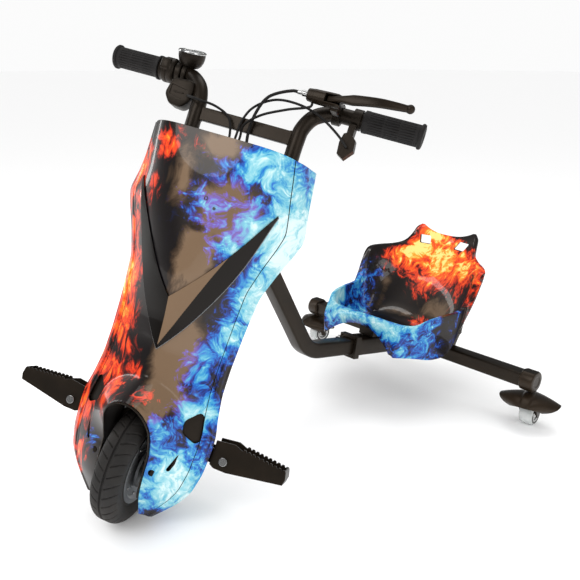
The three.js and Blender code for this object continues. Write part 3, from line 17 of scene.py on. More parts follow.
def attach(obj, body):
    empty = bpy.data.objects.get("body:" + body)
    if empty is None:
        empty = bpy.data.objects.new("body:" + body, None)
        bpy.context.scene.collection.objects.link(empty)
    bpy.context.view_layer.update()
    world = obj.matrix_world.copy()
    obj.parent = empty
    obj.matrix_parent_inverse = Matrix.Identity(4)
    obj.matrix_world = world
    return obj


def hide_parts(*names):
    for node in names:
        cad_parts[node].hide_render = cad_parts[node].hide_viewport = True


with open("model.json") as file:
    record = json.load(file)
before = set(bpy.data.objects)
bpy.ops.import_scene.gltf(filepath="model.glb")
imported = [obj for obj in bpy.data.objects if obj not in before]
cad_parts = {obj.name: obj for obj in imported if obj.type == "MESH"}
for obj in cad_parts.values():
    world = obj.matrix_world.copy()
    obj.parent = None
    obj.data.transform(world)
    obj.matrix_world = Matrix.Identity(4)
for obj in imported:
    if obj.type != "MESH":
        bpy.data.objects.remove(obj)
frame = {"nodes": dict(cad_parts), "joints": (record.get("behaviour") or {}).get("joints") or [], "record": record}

nodes = frame["nodes"]
joints = {joint["name"]: joint for joint in frame["joints"]}
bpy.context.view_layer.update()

# %% [markdown]
# ## Places
# The front assembly stands raked and turned to the left, so its pieces are easiest to shape
# straight, in a frame of their own: x across, v to the rear, w up along the steering axis.
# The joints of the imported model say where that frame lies. Shapes are written in millimetres
# and turned to metres in one place.

# %% Frames of reference
MM = 0.001
HEAD_PLACE = 0.440  # the steer joint lies this far up the steering axis, in metres
TURN = math.radians(31)
BACK_AXLE = 777  # the casters' axis behind the front wheel's hub, in millimetres
CASTER_YAW = math.radians(6)


def moved(x, y, z):
    """A move given in millimetres, as a matrix."""
    return Matrix.Translation(Vector((x, y, z)) * MM)


def half_turn(wanted):
    """Half a turn about the upright axis where it is wanted, for a mirrored piece."""
    return Matrix.Rotation(math.pi, 4, "Z") if wanted else Matrix.Identity(4)


steer_axis = Vector(joints["steer"]["axis"])
rake = math.asin(steer_axis.y)
foot = Vector(joints["steer"]["pos_m"]) - steer_axis * HEAD_PLACE
RAKED = Matrix.Translation(foot) @ Matrix.Rotation(-rake, 4, "X")
STEERED = RAKED @ Matrix.Rotation(TURN, 4, "Z")
swivel = {side: Vector(joints["caster_swivel_" + side]["pos_m"]) for side in ("left", "right")}
LEVEL = Matrix.Translation((0, swivel["left"].y - BACK_AXLE * MM, 0))
print("rake", round(math.degrees(rake), 1), "foot", [round(v, 4) for v in foot])

# %% [markdown]
# ## Camera
# The camera stands at the photograph's own viewing angle. Its place, focal length and small
# shift were worked out once, from known points of the trike.

# %% Camera at the photograph's angle
TARGET = Vector((0, -0.1058, 0.300))
TOWARDS_CAMERA = Vector((0.7105, -0.6220, 0.3290)).normalized()
DISTANCE = 1.277
IMAGE_SIDE = 580
FOCAL_PIXELS = 700
PRINCIPAL = (256.7, 302.2)


def aim(thing, place, towards):
    """Puts a camera or lamp at a place and points it along a direction."""
    thing.location = place
    thing.rotation_mode = "QUATERNION"
    thing.rotation_quaternion = towards.to_track_quat("-Z", "Y")


camera = bpy.data.objects.new("camera", bpy.data.cameras.new("camera"))
bpy.context.scene.collection.objects.link(camera)
aim(camera, TARGET + TOWARDS_CAMERA * DISTANCE, -TOWARDS_CAMERA)
camera.data.sensor_width = 36
camera.data.lens = camera.data.sensor_width * FOCAL_PIXELS / IMAGE_SIDE
camera.data.shift_x = (IMAGE_SIDE / 2 - PRINCIPAL[0]) / IMAGE_SIDE
camera.data.shift_y = (PRINCIPAL[1] - IMAGE_SIDE / 2) / IMAGE_SIDE
camera.data.clip_start = 0.01
camera.data.clip_end = 50
bpy.context.scene.camera = camera
print("lens", round(camera.data.lens, 2), "mm")

# %% [markdown]
# ## Floor, world and lamps
# A plain pale floor and a pale world give a quiet studio. A world can look white to the camera
# and still light the object gently: the Light Path node tells camera rays from the others, so
# the backdrop, the light on dull paint and the light seen in gloss each get their own strength.

# %% Floor and world
PALE = (0.97, 0.97, 0.97, 1)
AMBIENT = 1.05  # how brightly the world lights dull surfaces
MIRRORED = 0.22  # how brightly it shows in glossy ones
FLOOR_SIZE = 80
FLOOR_TONES = (0.95, 0.97)


def new_material(name):
    """An empty node material."""
    material = bpy.data.materials.new(name)
    material.use_nodes = True
    material.node_tree.nodes.clear()
    return material


def add_node(tree, kind, sockets=None, **settings):
    """Adds a node, sets its input sockets by name and its own settings by attribute."""
    node = tree.nodes.new(kind)
    for key, value in settings.items():
        setattr(node, key, value)
    for key, value in (sockets or {}).items():
        node.inputs[key].default_value = value
    return node


def pale_floor():
    """The floor's material: one pale tone that drifts a little."""
    material = new_material("pale_floor")
    tree = material.node_tree
    output = add_node(tree, "ShaderNodeOutputMaterial")
    shader = add_node(
        tree, "ShaderNodeBsdfPrincipled", {"Roughness": 0.9, "Specular IOR Level": 0.1})
    grain = add_node(tree, "ShaderNodeTexNoise", {"Scale": 3.0, "Detail": 3.0})
    ramp = add_node(tree, "ShaderNodeValToRGB")
    for element, tone in zip(ramp.color_ramp.elements, FLOOR_TONES):
        element.color = (tone, tone, tone, 1)
    tree.links.new(grain.outputs["Fac"], ramp.inputs["Fac"])
    tree.links.new(ramp.outputs["Color"], shader.inputs["Base Color"])
    tree.links.new(shader.outputs["BSDF"], output.inputs["Surface"])
    return material


floor_mesh = bpy.data.meshes.new("floor")
half = FLOOR_SIZE / 2
floor_corners = [(-half, -half, 0), (half, -half, 0), (half, half, 0), (-half, half, 0)]
floor_mesh.from_pydata(floor_corners, [], [(0, 1, 2, 3)])
floor = bpy.data.objects.new("floor", floor_mesh)
bpy.context.scene.collection.objects.link(floor)
floor_mesh.materials.append(pale_floor())

world = bpy.data.worlds.new("studio")
bpy.context.scene.world = world
world.use_nodes = True
sky = world.node_tree
sky.nodes.clear()
rays = add_node(sky, "ShaderNodeLightPath")
seen = add_node(sky, "ShaderNodeMath", operation="MAXIMUM")
strength = add_node(sky, "ShaderNodeMix")
strength.inputs[2].default_value = AMBIENT
strength.inputs[3].default_value = 1.0
glossy = add_node(sky, "ShaderNodeMix")
glossy.inputs[3].default_value = MIRRORED
background = add_node(sky, "ShaderNodeBackground", {"Color": PALE})
sky_output = add_node(sky, "ShaderNodeOutputWorld")
sky.links.new(rays.outputs["Is Camera Ray"], seen.inputs[0])
sky.links.new(rays.outputs["Is Transmission Ray"], seen.inputs[1])
sky.links.new(seen.outputs[0], strength.inputs[0])
sky.links.new(rays.outputs["Is Glossy Ray"], glossy.inputs[0])
sky.links.new(strength.outputs[0], glossy.inputs[2])
sky.links.new(glossy.outputs[0], background.inputs["Strength"])
sky.links.new(background.outputs[0], sky_output.inputs["Surface"])
print("floor and world made")

# %% [markdown]
# Broad lamps make soft shadows, and a long strip lamp draws the bright lines that glossy shells
# and satin tubes need. Area lamps are the simplest that do both, and they stay weak, so that a
# colour renders about as it is written.

# %% Lamps
LAMPS = {
    "key": {"place": (0.2, -2.2, 2.3), "size": (1.4, 1.4), "power": 26},
    "fill": {"place": (2.4, -0.4, 1.3), "size": (0.9, 1.8), "power": 10},
    "strip": {"place": (-1.7, -0.7, 1.2), "size": (0.25, 1.8), "power": 10},
    "top": {"place": (-0.2, 0.6, 2.4), "size": (1.8, 1.0), "power": 12},
}


def add_lamp(name, place, size, power):
    """A rectangular area lamp that faces the target."""
    lamp = bpy.data.lights.new(name, "AREA")
    lamp.shape = "RECTANGLE"
    lamp.size, lamp.size_y = size
    lamp.energy = power
    lamp_object = bpy.data.objects.new(name, lamp)
    bpy.context.scene.collection.objects.link(lamp_object)
    aim(lamp_object, Vector(place), TARGET - Vector(place))


for lamp_name, facts in LAMPS.items():
    add_lamp(lamp_name, **facts)
bpy.context.scene.view_settings.view_transform = "Standard"
print(len(LAMPS), "lamps")

# %% [markdown]
# ## Shared effects
# Several finishes use the same effects, so each effect is a node group with named inputs: fine
# grain for the mouldings and paint, soft handling marks, and the two halves of the print. A
# group gives out a colour, a roughness or a height, and the shader stays in the material.

# %% Node group helpers
def colour(code):
    """A web colour code as a linear colour for a socket."""
    parts = [int(code[i:i + 2], 16) / 255 for i in (1, 3, 5)]
    linear = [p / 12.92 if p <= 0.04045 else ((p + 0.055) / 1.055) ** 2.4 for p in parts]
    return (*linear, 1.0)


def new_group(name, inputs, outputs):
    """A shader node group. Inputs map a name to its kind and default, outputs to its kind."""
    group = bpy.data.node_groups.new(name, "ShaderNodeTree")
    for key, (kind, value) in inputs.items():
        socket = group.interface.new_socket(key, in_out="INPUT", socket_type="NodeSocket" + kind)
        socket.default_value = value
    for key, kind in outputs.items():
        group.interface.new_socket(key, in_out="OUTPUT", socket_type="NodeSocket" + kind)
    return group, add_node(group, "NodeGroupInput"), add_node(group, "NodeGroupOutput")


def math_node(tree, operation, first, second, third=None, clamp=False):
    """A Math node whose inputs are numbers or sockets."""
    node = add_node(tree, "ShaderNodeMath", operation=operation, use_clamp=clamp)
    for i, value in enumerate((first, second, third)):
        if isinstance(value, bpy.types.NodeSocket):
            tree.links.new(value, node.inputs[i])
        elif value is not None:
            node.inputs[i].default_value = value
    return node.outputs[0]


def ramp_node(tree, value, stops):
    """A Color Ramp through stops of place and web colour."""
    node = add_node(tree, "ShaderNodeValToRGB")
    elements = node.color_ramp.elements
    while len(elements) < len(stops):
        elements.new(0.5)
    for element, (place, code) in zip(elements, stops):
        element.position = place
        element.color = colour(code)
    tree.links.new(value, node.inputs["Fac"])
    return node.outputs["Color"]


def lighter_of(tree, first, second):
    """The lighter of two colours, channel by channel."""
    node = add_node(tree, "ShaderNodeMix", data_type="RGBA", blend_type="LIGHTEN")
    node.inputs[0].default_value = 1.0
    tree.links.new(first, node.inputs[6])
    tree.links.new(second, node.inputs[7])
    return node.outputs[2]


def noise_node(tree, vector, scale, detail, roughness=0.5, distortion=0.0, kind="FBM"):
    """A Noise Texture read at a place that another node gives."""
    node = add_node(
        tree, "ShaderNodeTexNoise",
        {"Scale": scale, "Detail": detail, "Roughness": roughness, "Distortion": distortion},
        noise_type=kind,
    )
    tree.links.new(vector, node.inputs["Vector"])
    return node


print("helpers ready")

# %% [markdown]
# Moulded plastic and powder paint are never mirror smooth. Fine grain is a small noise used as
# a height, and handling marks are a large soft noise that shifts the roughness a little.

# %% Grain and handling marks
def make_grain_group():
    """Fine noise on top of a softer one, as a height."""
    group, given, result = new_group(
        "fine_grain",
        {"Scale": ("Float", 900.0), "Soft Scale": ("Float", 60.0), "Soft Share": ("Float", 0.3)},
        {"Height": "Float"},
    )
    place = add_node(group, "ShaderNodeTexCoord").outputs["Object"]
    fine = add_node(group, "ShaderNodeTexNoise", {"Detail": 2.0})
    soft = add_node(group, "ShaderNodeTexNoise", {"Detail": 1.0})
    group.links.new(place, fine.inputs["Vector"])
    group.links.new(place, soft.inputs["Vector"])
    group.links.new(given.outputs["Scale"], fine.inputs["Scale"])
    group.links.new(given.outputs["Soft Scale"], soft.inputs["Scale"])
    waves = math_node(group, "MULTIPLY", soft.outputs["Fac"], given.outputs["Soft Share"])
    group.links.new(math_node(group, "ADD", fine.outputs["Fac"], waves), result.inputs["Height"])
    return group


def make_marks_group():
    """A roughness that a large soft noise shifts a little."""
    group, given, result = new_group(
        "handling_marks",
        {"Base": ("Float", 0.4), "Change": ("Float", 0.12), "Scale": ("Float", 9.0)},
        {"Roughness": "Float"},
    )
    place = add_node(group, "ShaderNodeTexCoord").outputs["Object"]
    smears = noise_node(group, place, 9.0, 5.0, 0.65, 0.6)
    group.links.new(given.outputs["Scale"], smears.inputs["Scale"])
    centred = math_node(group, "SUBTRACT", smears.outputs["Fac"], 0.5)
    change = math_node(group, "MULTIPLY", centred, given.outputs["Change"])
    total = math_node(group, "ADD", change, given.outputs["Base"])
    group.links.new(total, result.inputs["Roughness"])
    return group


GRAIN = make_grain_group()
MARKS = make_marks_group()
print("groups", GRAIN.name, MARKS.name)

# %% [markdown]
# ## The print
# The shells carry a glossy printed film: flames on black on one side, and blue turning to pale
# ice on the other. Each piece stores how hot and how cold the print is at each point, and how
# much painted brown reflection lies on the black, as the attribute named zones. The shader then
# breaks those soft zones up with warped noise: long licks for the flames, and thin threads for
# the ice.

# %% Flame and ice groups
FLAME_STOPS = [
    (0.0, "#080504"), (0.22, "#1a0806"), (0.34, "#6d1409"), (0.46, "#c92c0e"),
    (0.62, "#e94613"), (0.78, "#f3701a"), (0.92, "#faa634"), (1.0, "#fdd67c"),
]
ICE_STOPS = [
    (0.0, "#04060b"), (0.16, "#061333"), (0.27, "#0a3590"), (0.38, "#0f69bf"),
    (0.5, "#3796c4"), (0.62, "#6cb8cc"), (0.78, "#97ccd5"), (1.0, "#cfe6e8"),
]
LICK_STRETCH = (1.0, 1.0, 0.45)  # flames are longer upwards than across
# scale, detail and amount of each warp
FLAME_WARP, ICE_WARP = (11.0, 2.0, 0.055), (9.0, 3.0, 0.08)
# scale, detail, roughness and distortion of each noise, and its reach and base
LICKS, MIST = (50.0, 9.0, 0.66, 1.1, 2.3, -1.3), (36.0, 9.0, 0.64, 0.9, 1.9, -1.02)
THREADS = (70.0, 8.0, 0.6, 1.6, 0.24, -0.12, "RIDGED_MULTIFRACTAL")
VEINS = (60.0, 9.0, 0.62, 2.2, 0.42, -0.2, "RIDGED_MULTIFRACTAL")
HEAT_GAIN = 1.12
GATE_GAIN = 3.0  # how sharply a zone ends


def warped(group, place, scale, detail, amount):
    """A place pushed about by a large soft noise, so that what is drawn there swirls."""
    bend = noise_node(group, place, scale, detail)
    shift = add_node(group, "ShaderNodeVectorMath", operation="MULTIPLY_ADD")
    shift.inputs[1].default_value = (amount, amount, amount)
    group.links.new(bend.outputs["Color"], shift.inputs[0])
    group.links.new(place, shift.inputs[2])
    return shift.outputs[0]


def fine_noise(group, place, scale, detail, roughness, distortion, reach, base, kind="FBM"):
    """A noise's value stretched over a reach, from a base."""
    noise = noise_node(group, place, scale, detail, roughness, distortion, kind)
    return math_node(group, "MULTIPLY_ADD", noise.outputs["Fac"], reach, base)


def gated(group, total, zone):
    """The total where its zone reaches, and nothing elsewhere."""
    gate = math_node(group, "MULTIPLY", zone, GATE_GAIN, clamp=True)
    return math_node(group, "MULTIPLY", total, gate, clamp=True)


def make_flame_group():
    """Flames on black: licks and threads, lit by the heat at each place."""
    group, given, result = new_group(
        "flame_print",
        {"Place": ("Vector", (0, 0, 0)), "Heat": ("Float", 0.5)},
        {"Color": "Color"},
    )
    stretch = add_node(group, "ShaderNodeVectorMath", operation="MULTIPLY")
    stretch.inputs[1].default_value = LICK_STRETCH
    group.links.new(warped(group, given.outputs["Place"], *FLAME_WARP), stretch.inputs[0])
    place = stretch.outputs[0]
    licks = fine_noise(group, place, *LICKS)
    threads = fine_noise(group, place, *THREADS)
    heat = math_node(group, "MULTIPLY", given.outputs["Heat"], HEAT_GAIN)
    total = math_node(group, "ADD", math_node(group, "ADD", licks, threads), heat)
    field = gated(group, total, given.outputs["Heat"])
    group.links.new(ramp_node(group, field, FLAME_STOPS), result.inputs["Color"])
    return group


def make_ice_group():
    """Ice on black: mist and veins, lit by the cold at each place."""
    group, given, result = new_group(
        "ice_print",
        {"Place": ("Vector", (0, 0, 0)), "Cold": ("Float", 0.5)},
        {"Color": "Color"},
    )
    place = warped(group, given.outputs["Place"], *ICE_WARP)
    mist = fine_noise(group, place, *MIST)
    veins = fine_noise(group, place, *VEINS)
    total = math_node(group, "ADD", math_node(group, "ADD", mist, veins), given.outputs["Cold"])
    field = gated(group, total, given.outputs["Cold"])
    group.links.new(ramp_node(group, field, ICE_STOPS), result.inputs["Color"])
    return group


FLAMES = make_flame_group()
ICE = make_ice_group()
print("groups", FLAMES.name, ICE.name)

# %% [markdown]
# ## Finishes
# Three functions make all the finishes. Paint, plastic, rubber and metal are one kind: a tone
# that drifts a little, a roughness with handling marks, and a fine grain. The print lies under a
# clear coat, and the wheel and the lens let light through. The blacks are really a warm brown
# black, and their reflections lean to brown too.

# %% Materials
WARM = (1.0, 0.84, 0.7, 1.0)  # the tint of reflections on the dark finishes
GRAIN_DISTANCE = 0.0004  # how high the grain stands, in metres
# the film's dark base, which drifts at random, and the painted brown reflection on it
DARK_AND_REFLECTION_STOPS = [(0.32, "#070505"), (0.5, "#35271c"), (0.78, "#715b46")]


def place_group(tree, group, sockets=None):
    """A group in a material, with the material's own values."""
    node = add_node(tree, "ShaderNodeGroup", node_tree=group)
    for key, value in (sockets or {}).items():
        node.inputs[key].default_value = value
    return node


def start_material(name, sockets):
    """A material with a Principled shader, its sockets set by name."""
    material = new_material(name)
    tree = material.node_tree
    output = add_node(tree, "ShaderNodeOutputMaterial")
    shader = add_node(tree, "ShaderNodeBsdfPrincipled", sockets)
    tree.links.new(shader.outputs["BSDF"], output.inputs["Surface"])
    return material, tree, shader


def add_grain(tree, shader, strength, sockets):
    """A bump from the shared grain, for the shader's Normal."""
    grain = place_group(tree, GRAIN, sockets)
    bump = add_node(tree, "ShaderNodeBump", {"Strength": strength, "Distance": GRAIN_DISTANCE})
    tree.links.new(grain.outputs["Height"], bump.inputs["Height"])
    tree.links.new(bump.outputs["Normal"], shader.inputs["Normal"])


def plain_finish(name, dark, light, base, change, grain_scale, bump, sockets):
    """A finish of one colour that drifts a little between two tones, with grain and marks."""
    material, tree, shader = start_material(name, sockets)
    place = add_node(tree, "ShaderNodeTexCoord").outputs["Object"]
    drift = noise_node(tree, place, 14.0, 5.0, 0.6)
    tone = ramp_node(tree, drift.outputs["Fac"], [(0.35, dark), (0.68, light)])
    tree.links.new(tone, shader.inputs["Base Color"])
    marks = place_group(tree, MARKS, {"Base": base, "Change": change})
    tree.links.new(marks.outputs["Roughness"], shader.inputs["Roughness"])
    add_grain(tree, shader, bump, {"Scale": grain_scale})
    return material


def printed_finish(name, film=True):
    """The glossy film: flames, ice and a warm dark base with painted brown reflection, mixed by the
    zones of the mesh.

    Without the film only the dark base and its painted reflection are left, on plain gloss black.
    """
    material, tree, shader = start_material(
        name, {"Roughness": 0.34, "Specular IOR Level": 0.3 if film else 0.12,
               "Specular Tint": WARM, "Coat Weight": 0.4 if film else 0.25,
               "Coat Roughness": 0.04, "Coat IOR": 1.5},
    )
    place = add_node(tree, "ShaderNodeAttribute", attribute_name="film").outputs["Vector"]
    zones = add_node(tree, "ShaderNodeAttribute", attribute_name="zones")
    parts = add_node(tree, "ShaderNodeSeparateColor")
    tree.links.new(zones.outputs["Color"], parts.inputs["Color"])
    flames = place_group(tree, FLAMES)
    ice = place_group(tree, ICE)
    for node, key, part in ((flames, "Heat", "Red"), (ice, "Cold", "Green")):
        tree.links.new(place, node.inputs["Place"])
        tree.links.new(parts.outputs[part], node.inputs[key])
    drift = noise_node(tree, place, 16.0, 7.0, 0.62, 1.3)
    haze = math_node(tree, "MULTIPLY_ADD", drift.outputs["Fac"], 1.5, -0.75)
    # the third zone adds painted brown reflection to the dark base
    haze = math_node(tree, "ADD", haze, parts.outputs["Blue"], clamp=True)
    brown_reflection = ramp_node(tree, haze, DARK_AND_REFLECTION_STOPS)
    hot = lighter_of(tree, brown_reflection, flames.outputs["Color"])
    both = lighter_of(tree, hot, ice.outputs["Color"])
    tree.links.new(both if film else brown_reflection, shader.inputs["Base Color"])
    add_grain(tree, shader, 0.02, {"Scale": 240.0, "Soft Scale": 40.0})
    return material


def clear_finish(name, tint, roughness, transmission):
    """A clear plastic between two pale tints."""
    material, tree, shader = start_material(
        name, {"Transmission Weight": transmission, "IOR": 1.46})
    place = add_node(tree, "ShaderNodeTexCoord").outputs["Object"]
    drift = noise_node(tree, place, 60.0, 3.0)
    tone = ramp_node(tree, drift.outputs["Fac"], [(0.3, tint[0]), (0.7, tint[1])])
    tree.links.new(tone, shader.inputs["Base Color"])
    marks = place_group(tree, MARKS, {"Base": roughness, "Change": 0.05, "Scale": 40.0})
    tree.links.new(marks.outputs["Roughness"], shader.inputs["Roughness"])
    return material


# name: dark tone, light tone, roughness, its change, scale of the grain, its strength, sockets
PLAIN_FINISHES = {
    "black_paint": ("#100c08", "#1e1710", 0.36, 0.16, 1100.0, 0.25,
                    {"Specular IOR Level": 0.3, "Specular Tint": WARM}),
    "black_plastic": ("#0e0b08", "#19140f", 0.42, 0.14, 1500.0, 0.3,
                      {"Specular IOR Level": 0.28, "Specular Tint": WARM}),
    "cap_plastic": ("#1c150e", "#2b2118", 0.36, 0.16, 1300.0, 0.3,
                    {"Specular IOR Level": 0.32, "Specular Tint": WARM}),
    "black_rubber": ("#100e0d", "#1a1716", 0.66, 0.16, 1600.0, 0.4, {"Specular IOR Level": 0.35}),
    "tyre_rubber": ("#171412", "#28231f", 0.74, 0.18, 1400.0, 0.6, {}),
    "gloss_black": ("#050404", "#0b0908", 0.14, 0.05, 300.0, 0.015,
                    {"Specular IOR Level": 0.3, "Coat Weight": 0.2, "Coat Roughness": 0.03}),
    "bright_steel": ("#b9b9b9", "#d6d6d4", 0.2, 0.14, 2000.0, 0.1, {"Metallic": 1.0}),
    "motor_silver": ("#7d7f82", "#96989a", 0.42, 0.16, 1200.0, 0.3, {"Metallic": 0.85}),
    "red_button": ("#8f1c12", "#a92719", 0.35, 0.1, 1500.0, 0.15, {}),
    "battery_blue": ("#1d3a6c", "#274a80", 0.3, 0.12, 700.0, 0.2, {}),
}
FINISH = {name: plain_finish(name, *values) for name, values in PLAIN_FINISHES.items()}
FINISH["fire_shell"] = printed_finish("printed_shell")
FINISH["insert_gloss"] = printed_finish("gloss_black_reflection", film=False)
FINISH["clear_wheel"] = clear_finish("clear_wheel", ("#eef3f1", "#fcfdfc"), 0.12, 0.5)
FINISH["lens_clear"] = clear_finish("lens_clear", ("#eef3f4", "#ffffff"), 0.04, 0.85)
FINISH["ice_shell"] = FINISH["fire_shell"]
print(len(FINISH), "finishes")

# %% [markdown]
# ## Mesh helpers
# Nearly every piece here is a grid of points, a turned profile, or an outline swept along a
# path. Three helpers make those, and a fourth puts a piece in place and tells the frame which
# body it rides on.

# %% Putting a piece in place
def recalculate(mesh):
    """Joins doubled points and turns every face outwards."""
    made = bmesh.new()
    made.from_mesh(mesh)
    bmesh.ops.remove_doubles(made, verts=made.verts, dist=1e-6)
    bmesh.ops.recalc_face_normals(made, faces=made.faces)
    made.to_mesh(mesh)
    made.free()


SHARP = 32  # faces that meet at more degrees than this keep a sharp edge


def shade(mesh, angle=SHARP):
    """Smooth shading, with sharp edges where faces meet at more than this angle."""
    mesh.shade_smooth()
    mesh.set_sharp_from_angle(angle=math.radians(angle))


def piece_of(name, points, faces, finish, angle=SHARP):
    """A mesh object from points in millimetres."""
    mesh = bpy.data.meshes.new(name)
    mesh.from_pydata((np.asarray(points, float) * MM).tolist(), [], faces)
    recalculate(mesh)
    shade(mesh, angle)
    piece = bpy.data.objects.new(name, mesh)
    bpy.context.scene.collection.objects.link(piece)
    mesh.materials.append(FINISH[finish])
    return piece


def points_of(piece):
    """The mesh's points in millimetres."""
    values = np.zeros(len(piece.data.vertices) * 3)
    piece.data.vertices.foreach_get("co", values)
    return values.reshape(-1, 3) / MM


def settle(piece, body, place, stands_for=()):
    """Places a piece, hides the nodes that it stands for and lets it ride on its body.

    The place goes into the mesh, so that the piece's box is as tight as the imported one, and the
    attribute film keeps the points as they were shaped, for the print.
    """
    if place is not None:
        film = piece.data.attributes.new("film", "FLOAT_VECTOR", "POINT")
        film.data.foreach_set("vector", points_of(piece).ravel() * MM)
        piece.data.transform(place @ piece.matrix_basis)
        piece.matrix_basis = Matrix.Identity(4)
    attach(piece, body)
    if stands_for:
        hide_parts(*stands_for)
    return piece


def soften(piece, width, segments=2, angle=35, clamped=False):
    """Rounds the piece's hard edges by a width in millimetres, clamped where room is short."""
    bevel = piece.modifiers.new("rounded edges", "BEVEL")
    bevel.width = width * MM
    bevel.segments = segments
    bevel.limit_method = "ANGLE"
    bevel.angle_limit = math.radians(angle)
    bevel.use_clamp_overlap = clamped
    bevel.harden_normals = True
    return piece


def baked(piece):
    """Turns a piece's modifiers into its mesh."""
    bpy.context.view_layer.update()
    evaluated = piece.evaluated_get(bpy.context.evaluated_depsgraph_get())
    mesh = bpy.data.meshes.new_from_object(evaluated)
    piece.modifiers.clear()
    piece.data = mesh
    return piece


print("placing helpers ready")

# %% Grids, turned profiles and sweeps
def grid_faces(rows, columns, start=0, wrap_rows=False, wrap_columns=False):
    """Four-sided faces between the points of a grid, which may close on itself."""
    faces = []
    for i in range(rows if wrap_rows else rows - 1):
        for j in range(columns if wrap_columns else columns - 1):
            k, m = (i + 1) % rows, (j + 1) % columns
            faces.append(tuple(start + n for n in (
                i * columns + j, i * columns + m, k * columns + m, k * columns + j)))
    return faces


def rim_faces(rows, columns, second):
    """The strip between the borders of two grids, the second one's points starting at second."""
    border = [(0, j) for j in range(columns)] + [(i, columns - 1) for i in range(1, rows)]
    border += [(rows - 1, j) for j in range(columns - 2, -1, -1)]
    border += [(i, 0) for i in range(rows - 2, 0, -1)]
    ring = [i * columns + j for i, j in border]
    count = len(ring)
    return [(ring[n], second + ring[n], second + ring[(n + 1) % count], ring[(n + 1) % count])
            for n in range(count)]


def grid_normals(grid):
    """The unit normal at each point of a grid."""
    along = np.gradient(grid, axis=0)
    across = np.gradient(grid, axis=1)
    normals = np.cross(along, across)
    return normals / np.maximum(np.linalg.norm(normals, axis=2, keepdims=True), 1e-9)


def sheet(name, grid, second, finish):
    """A closed body between two grids of the same shape."""
    rows, columns = grid.shape[:2]
    count = rows * columns
    points = np.concatenate([grid.reshape(-1, 3), second.reshape(-1, 3)])
    faces = grid_faces(rows, columns) + grid_faces(rows, columns, count)
    return piece_of(name, points, faces + rim_faces(rows, columns, count), finish)


def skin(name, grid, thick, finish, inner_finish):
    """A thin closed body: the grid and its copy moved along its normals."""
    rows, columns = grid.shape[:2]
    piece = sheet(name, grid, grid + grid_normals(grid) * thick, finish)
    piece.data.materials.append(FINISH[inner_finish])
    for polygon in list(piece.data.polygons)[(rows - 1) * (columns - 1):]:
        polygon.material_index = 1
    return piece


def turned(name, profile, finish, axis, steps):
    """Radius and place pairs turned round an axis. A profile off the axis closes on itself."""
    angles = np.linspace(0, 2 * math.pi, steps, endpoint=False)
    radii = np.array([p[0] for p in profile], float)[:, None]
    places = np.array([p[1] for p in profile], float)[:, None] + 0 * angles
    a, b = radii * np.cos(angles), radii * np.sin(angles)
    order = {"x": (places, a, b), "y": (b, places, a), "z": (a, b, places)}[axis]
    points = np.stack(order, -1).reshape(-1, 3)
    hollow = min(profile[0][0], profile[-1][0]) > 0.05
    faces = grid_faces(len(profile), steps, wrap_rows=hollow, wrap_columns=True)
    return piece_of(name, points, faces, finish)


def smooth_path(controls, step):
    """A centripetal Catmull-Rom curve through control points, sampled every few millimetres."""
    p = np.array(controls, float)
    p = np.vstack([2 * p[0] - p[1], p, 2 * p[-1] - p[-2]])
    made = []
    for i in range(1, len(p) - 2):
        p0, p1, p2, p3 = p[i - 1:i + 3]
        gaps = np.maximum(np.linalg.norm(np.diff(p[i - 1:i + 3], axis=0), axis=1), 1e-6)
        t0, t1, t2, t3 = np.concatenate([[0.0], np.cumsum(gaps ** 0.5)])
        count = max(2, int(np.linalg.norm(p2 - p1) / step))
        t = np.linspace(t1, t2, count, endpoint=False)[:, None]
        a1 = (t1 - t) / (t1 - t0) * p0 + (t - t0) / (t1 - t0) * p1
        a2 = (t2 - t) / (t2 - t1) * p1 + (t - t1) / (t2 - t1) * p2
        a3 = (t3 - t) / (t3 - t2) * p2 + (t - t2) / (t3 - t2) * p3
        b1 = (t2 - t) / (t2 - t0) * a1 + (t - t0) / (t2 - t0) * a2
        b2 = (t3 - t) / (t3 - t1) * a2 + (t - t1) / (t3 - t1) * a3
        made.append((t2 - t) / (t2 - t1) * b1 + (t - t1) / (t2 - t1) * b2)
    made.append(p[-2][None])
    return np.vstack(made)


def sweep(name, path, outline, finish, scales=None, first_side=(1, 0, 0)):
    """An outline of (a, b) points carried along a path, with flat ends.

    The scales stretch it in both directions at each point of the path.
    """
    path = np.asarray(path, float)
    ways = np.gradient(path, axis=0)
    ways /= np.linalg.norm(ways, axis=1, keepdims=True)
    outline = np.asarray(outline, float)
    side = np.asarray(first_side, float)
    rings = []
    for n, (point, way) in enumerate(zip(path, ways)):
        side = side - way * (side @ way)
        side /= np.linalg.norm(side)
        other = np.cross(way, side)
        a, b = (1, 1) if scales is None else scales[n]
        rings.append(point + outline[:, :1] * a * side + outline[:, 1:] * b * other)
    count = len(outline)
    faces = grid_faces(len(rings), count, wrap_columns=True)
    faces.append(tuple(range(count)))
    faces.append(tuple(range((len(rings) - 1) * count, len(rings) * count)))
    return piece_of(name, np.concatenate(rings), faces, finish)


def round_outline(radius, steps=20):
    """A circle as (a, b) points."""
    angles = np.linspace(0, 2 * math.pi, steps, endpoint=False)
    return np.stack([radius * np.cos(angles), radius * np.sin(angles)], 1)


def rounded_square(size, corner, steps=5):
    """A square outline with rounded corners."""
    inset = size / 2 - corner
    points = []
    for n, (a, b) in enumerate(((1, 1), (-1, 1), (-1, -1), (1, -1))):
        for angle in np.linspace(n * math.pi / 2, (n + 1) * math.pi / 2, steps):
            points.append((a * inset + corner * math.cos(angle),
                           b * inset + corner * math.sin(angle)))
    return np.array(points)


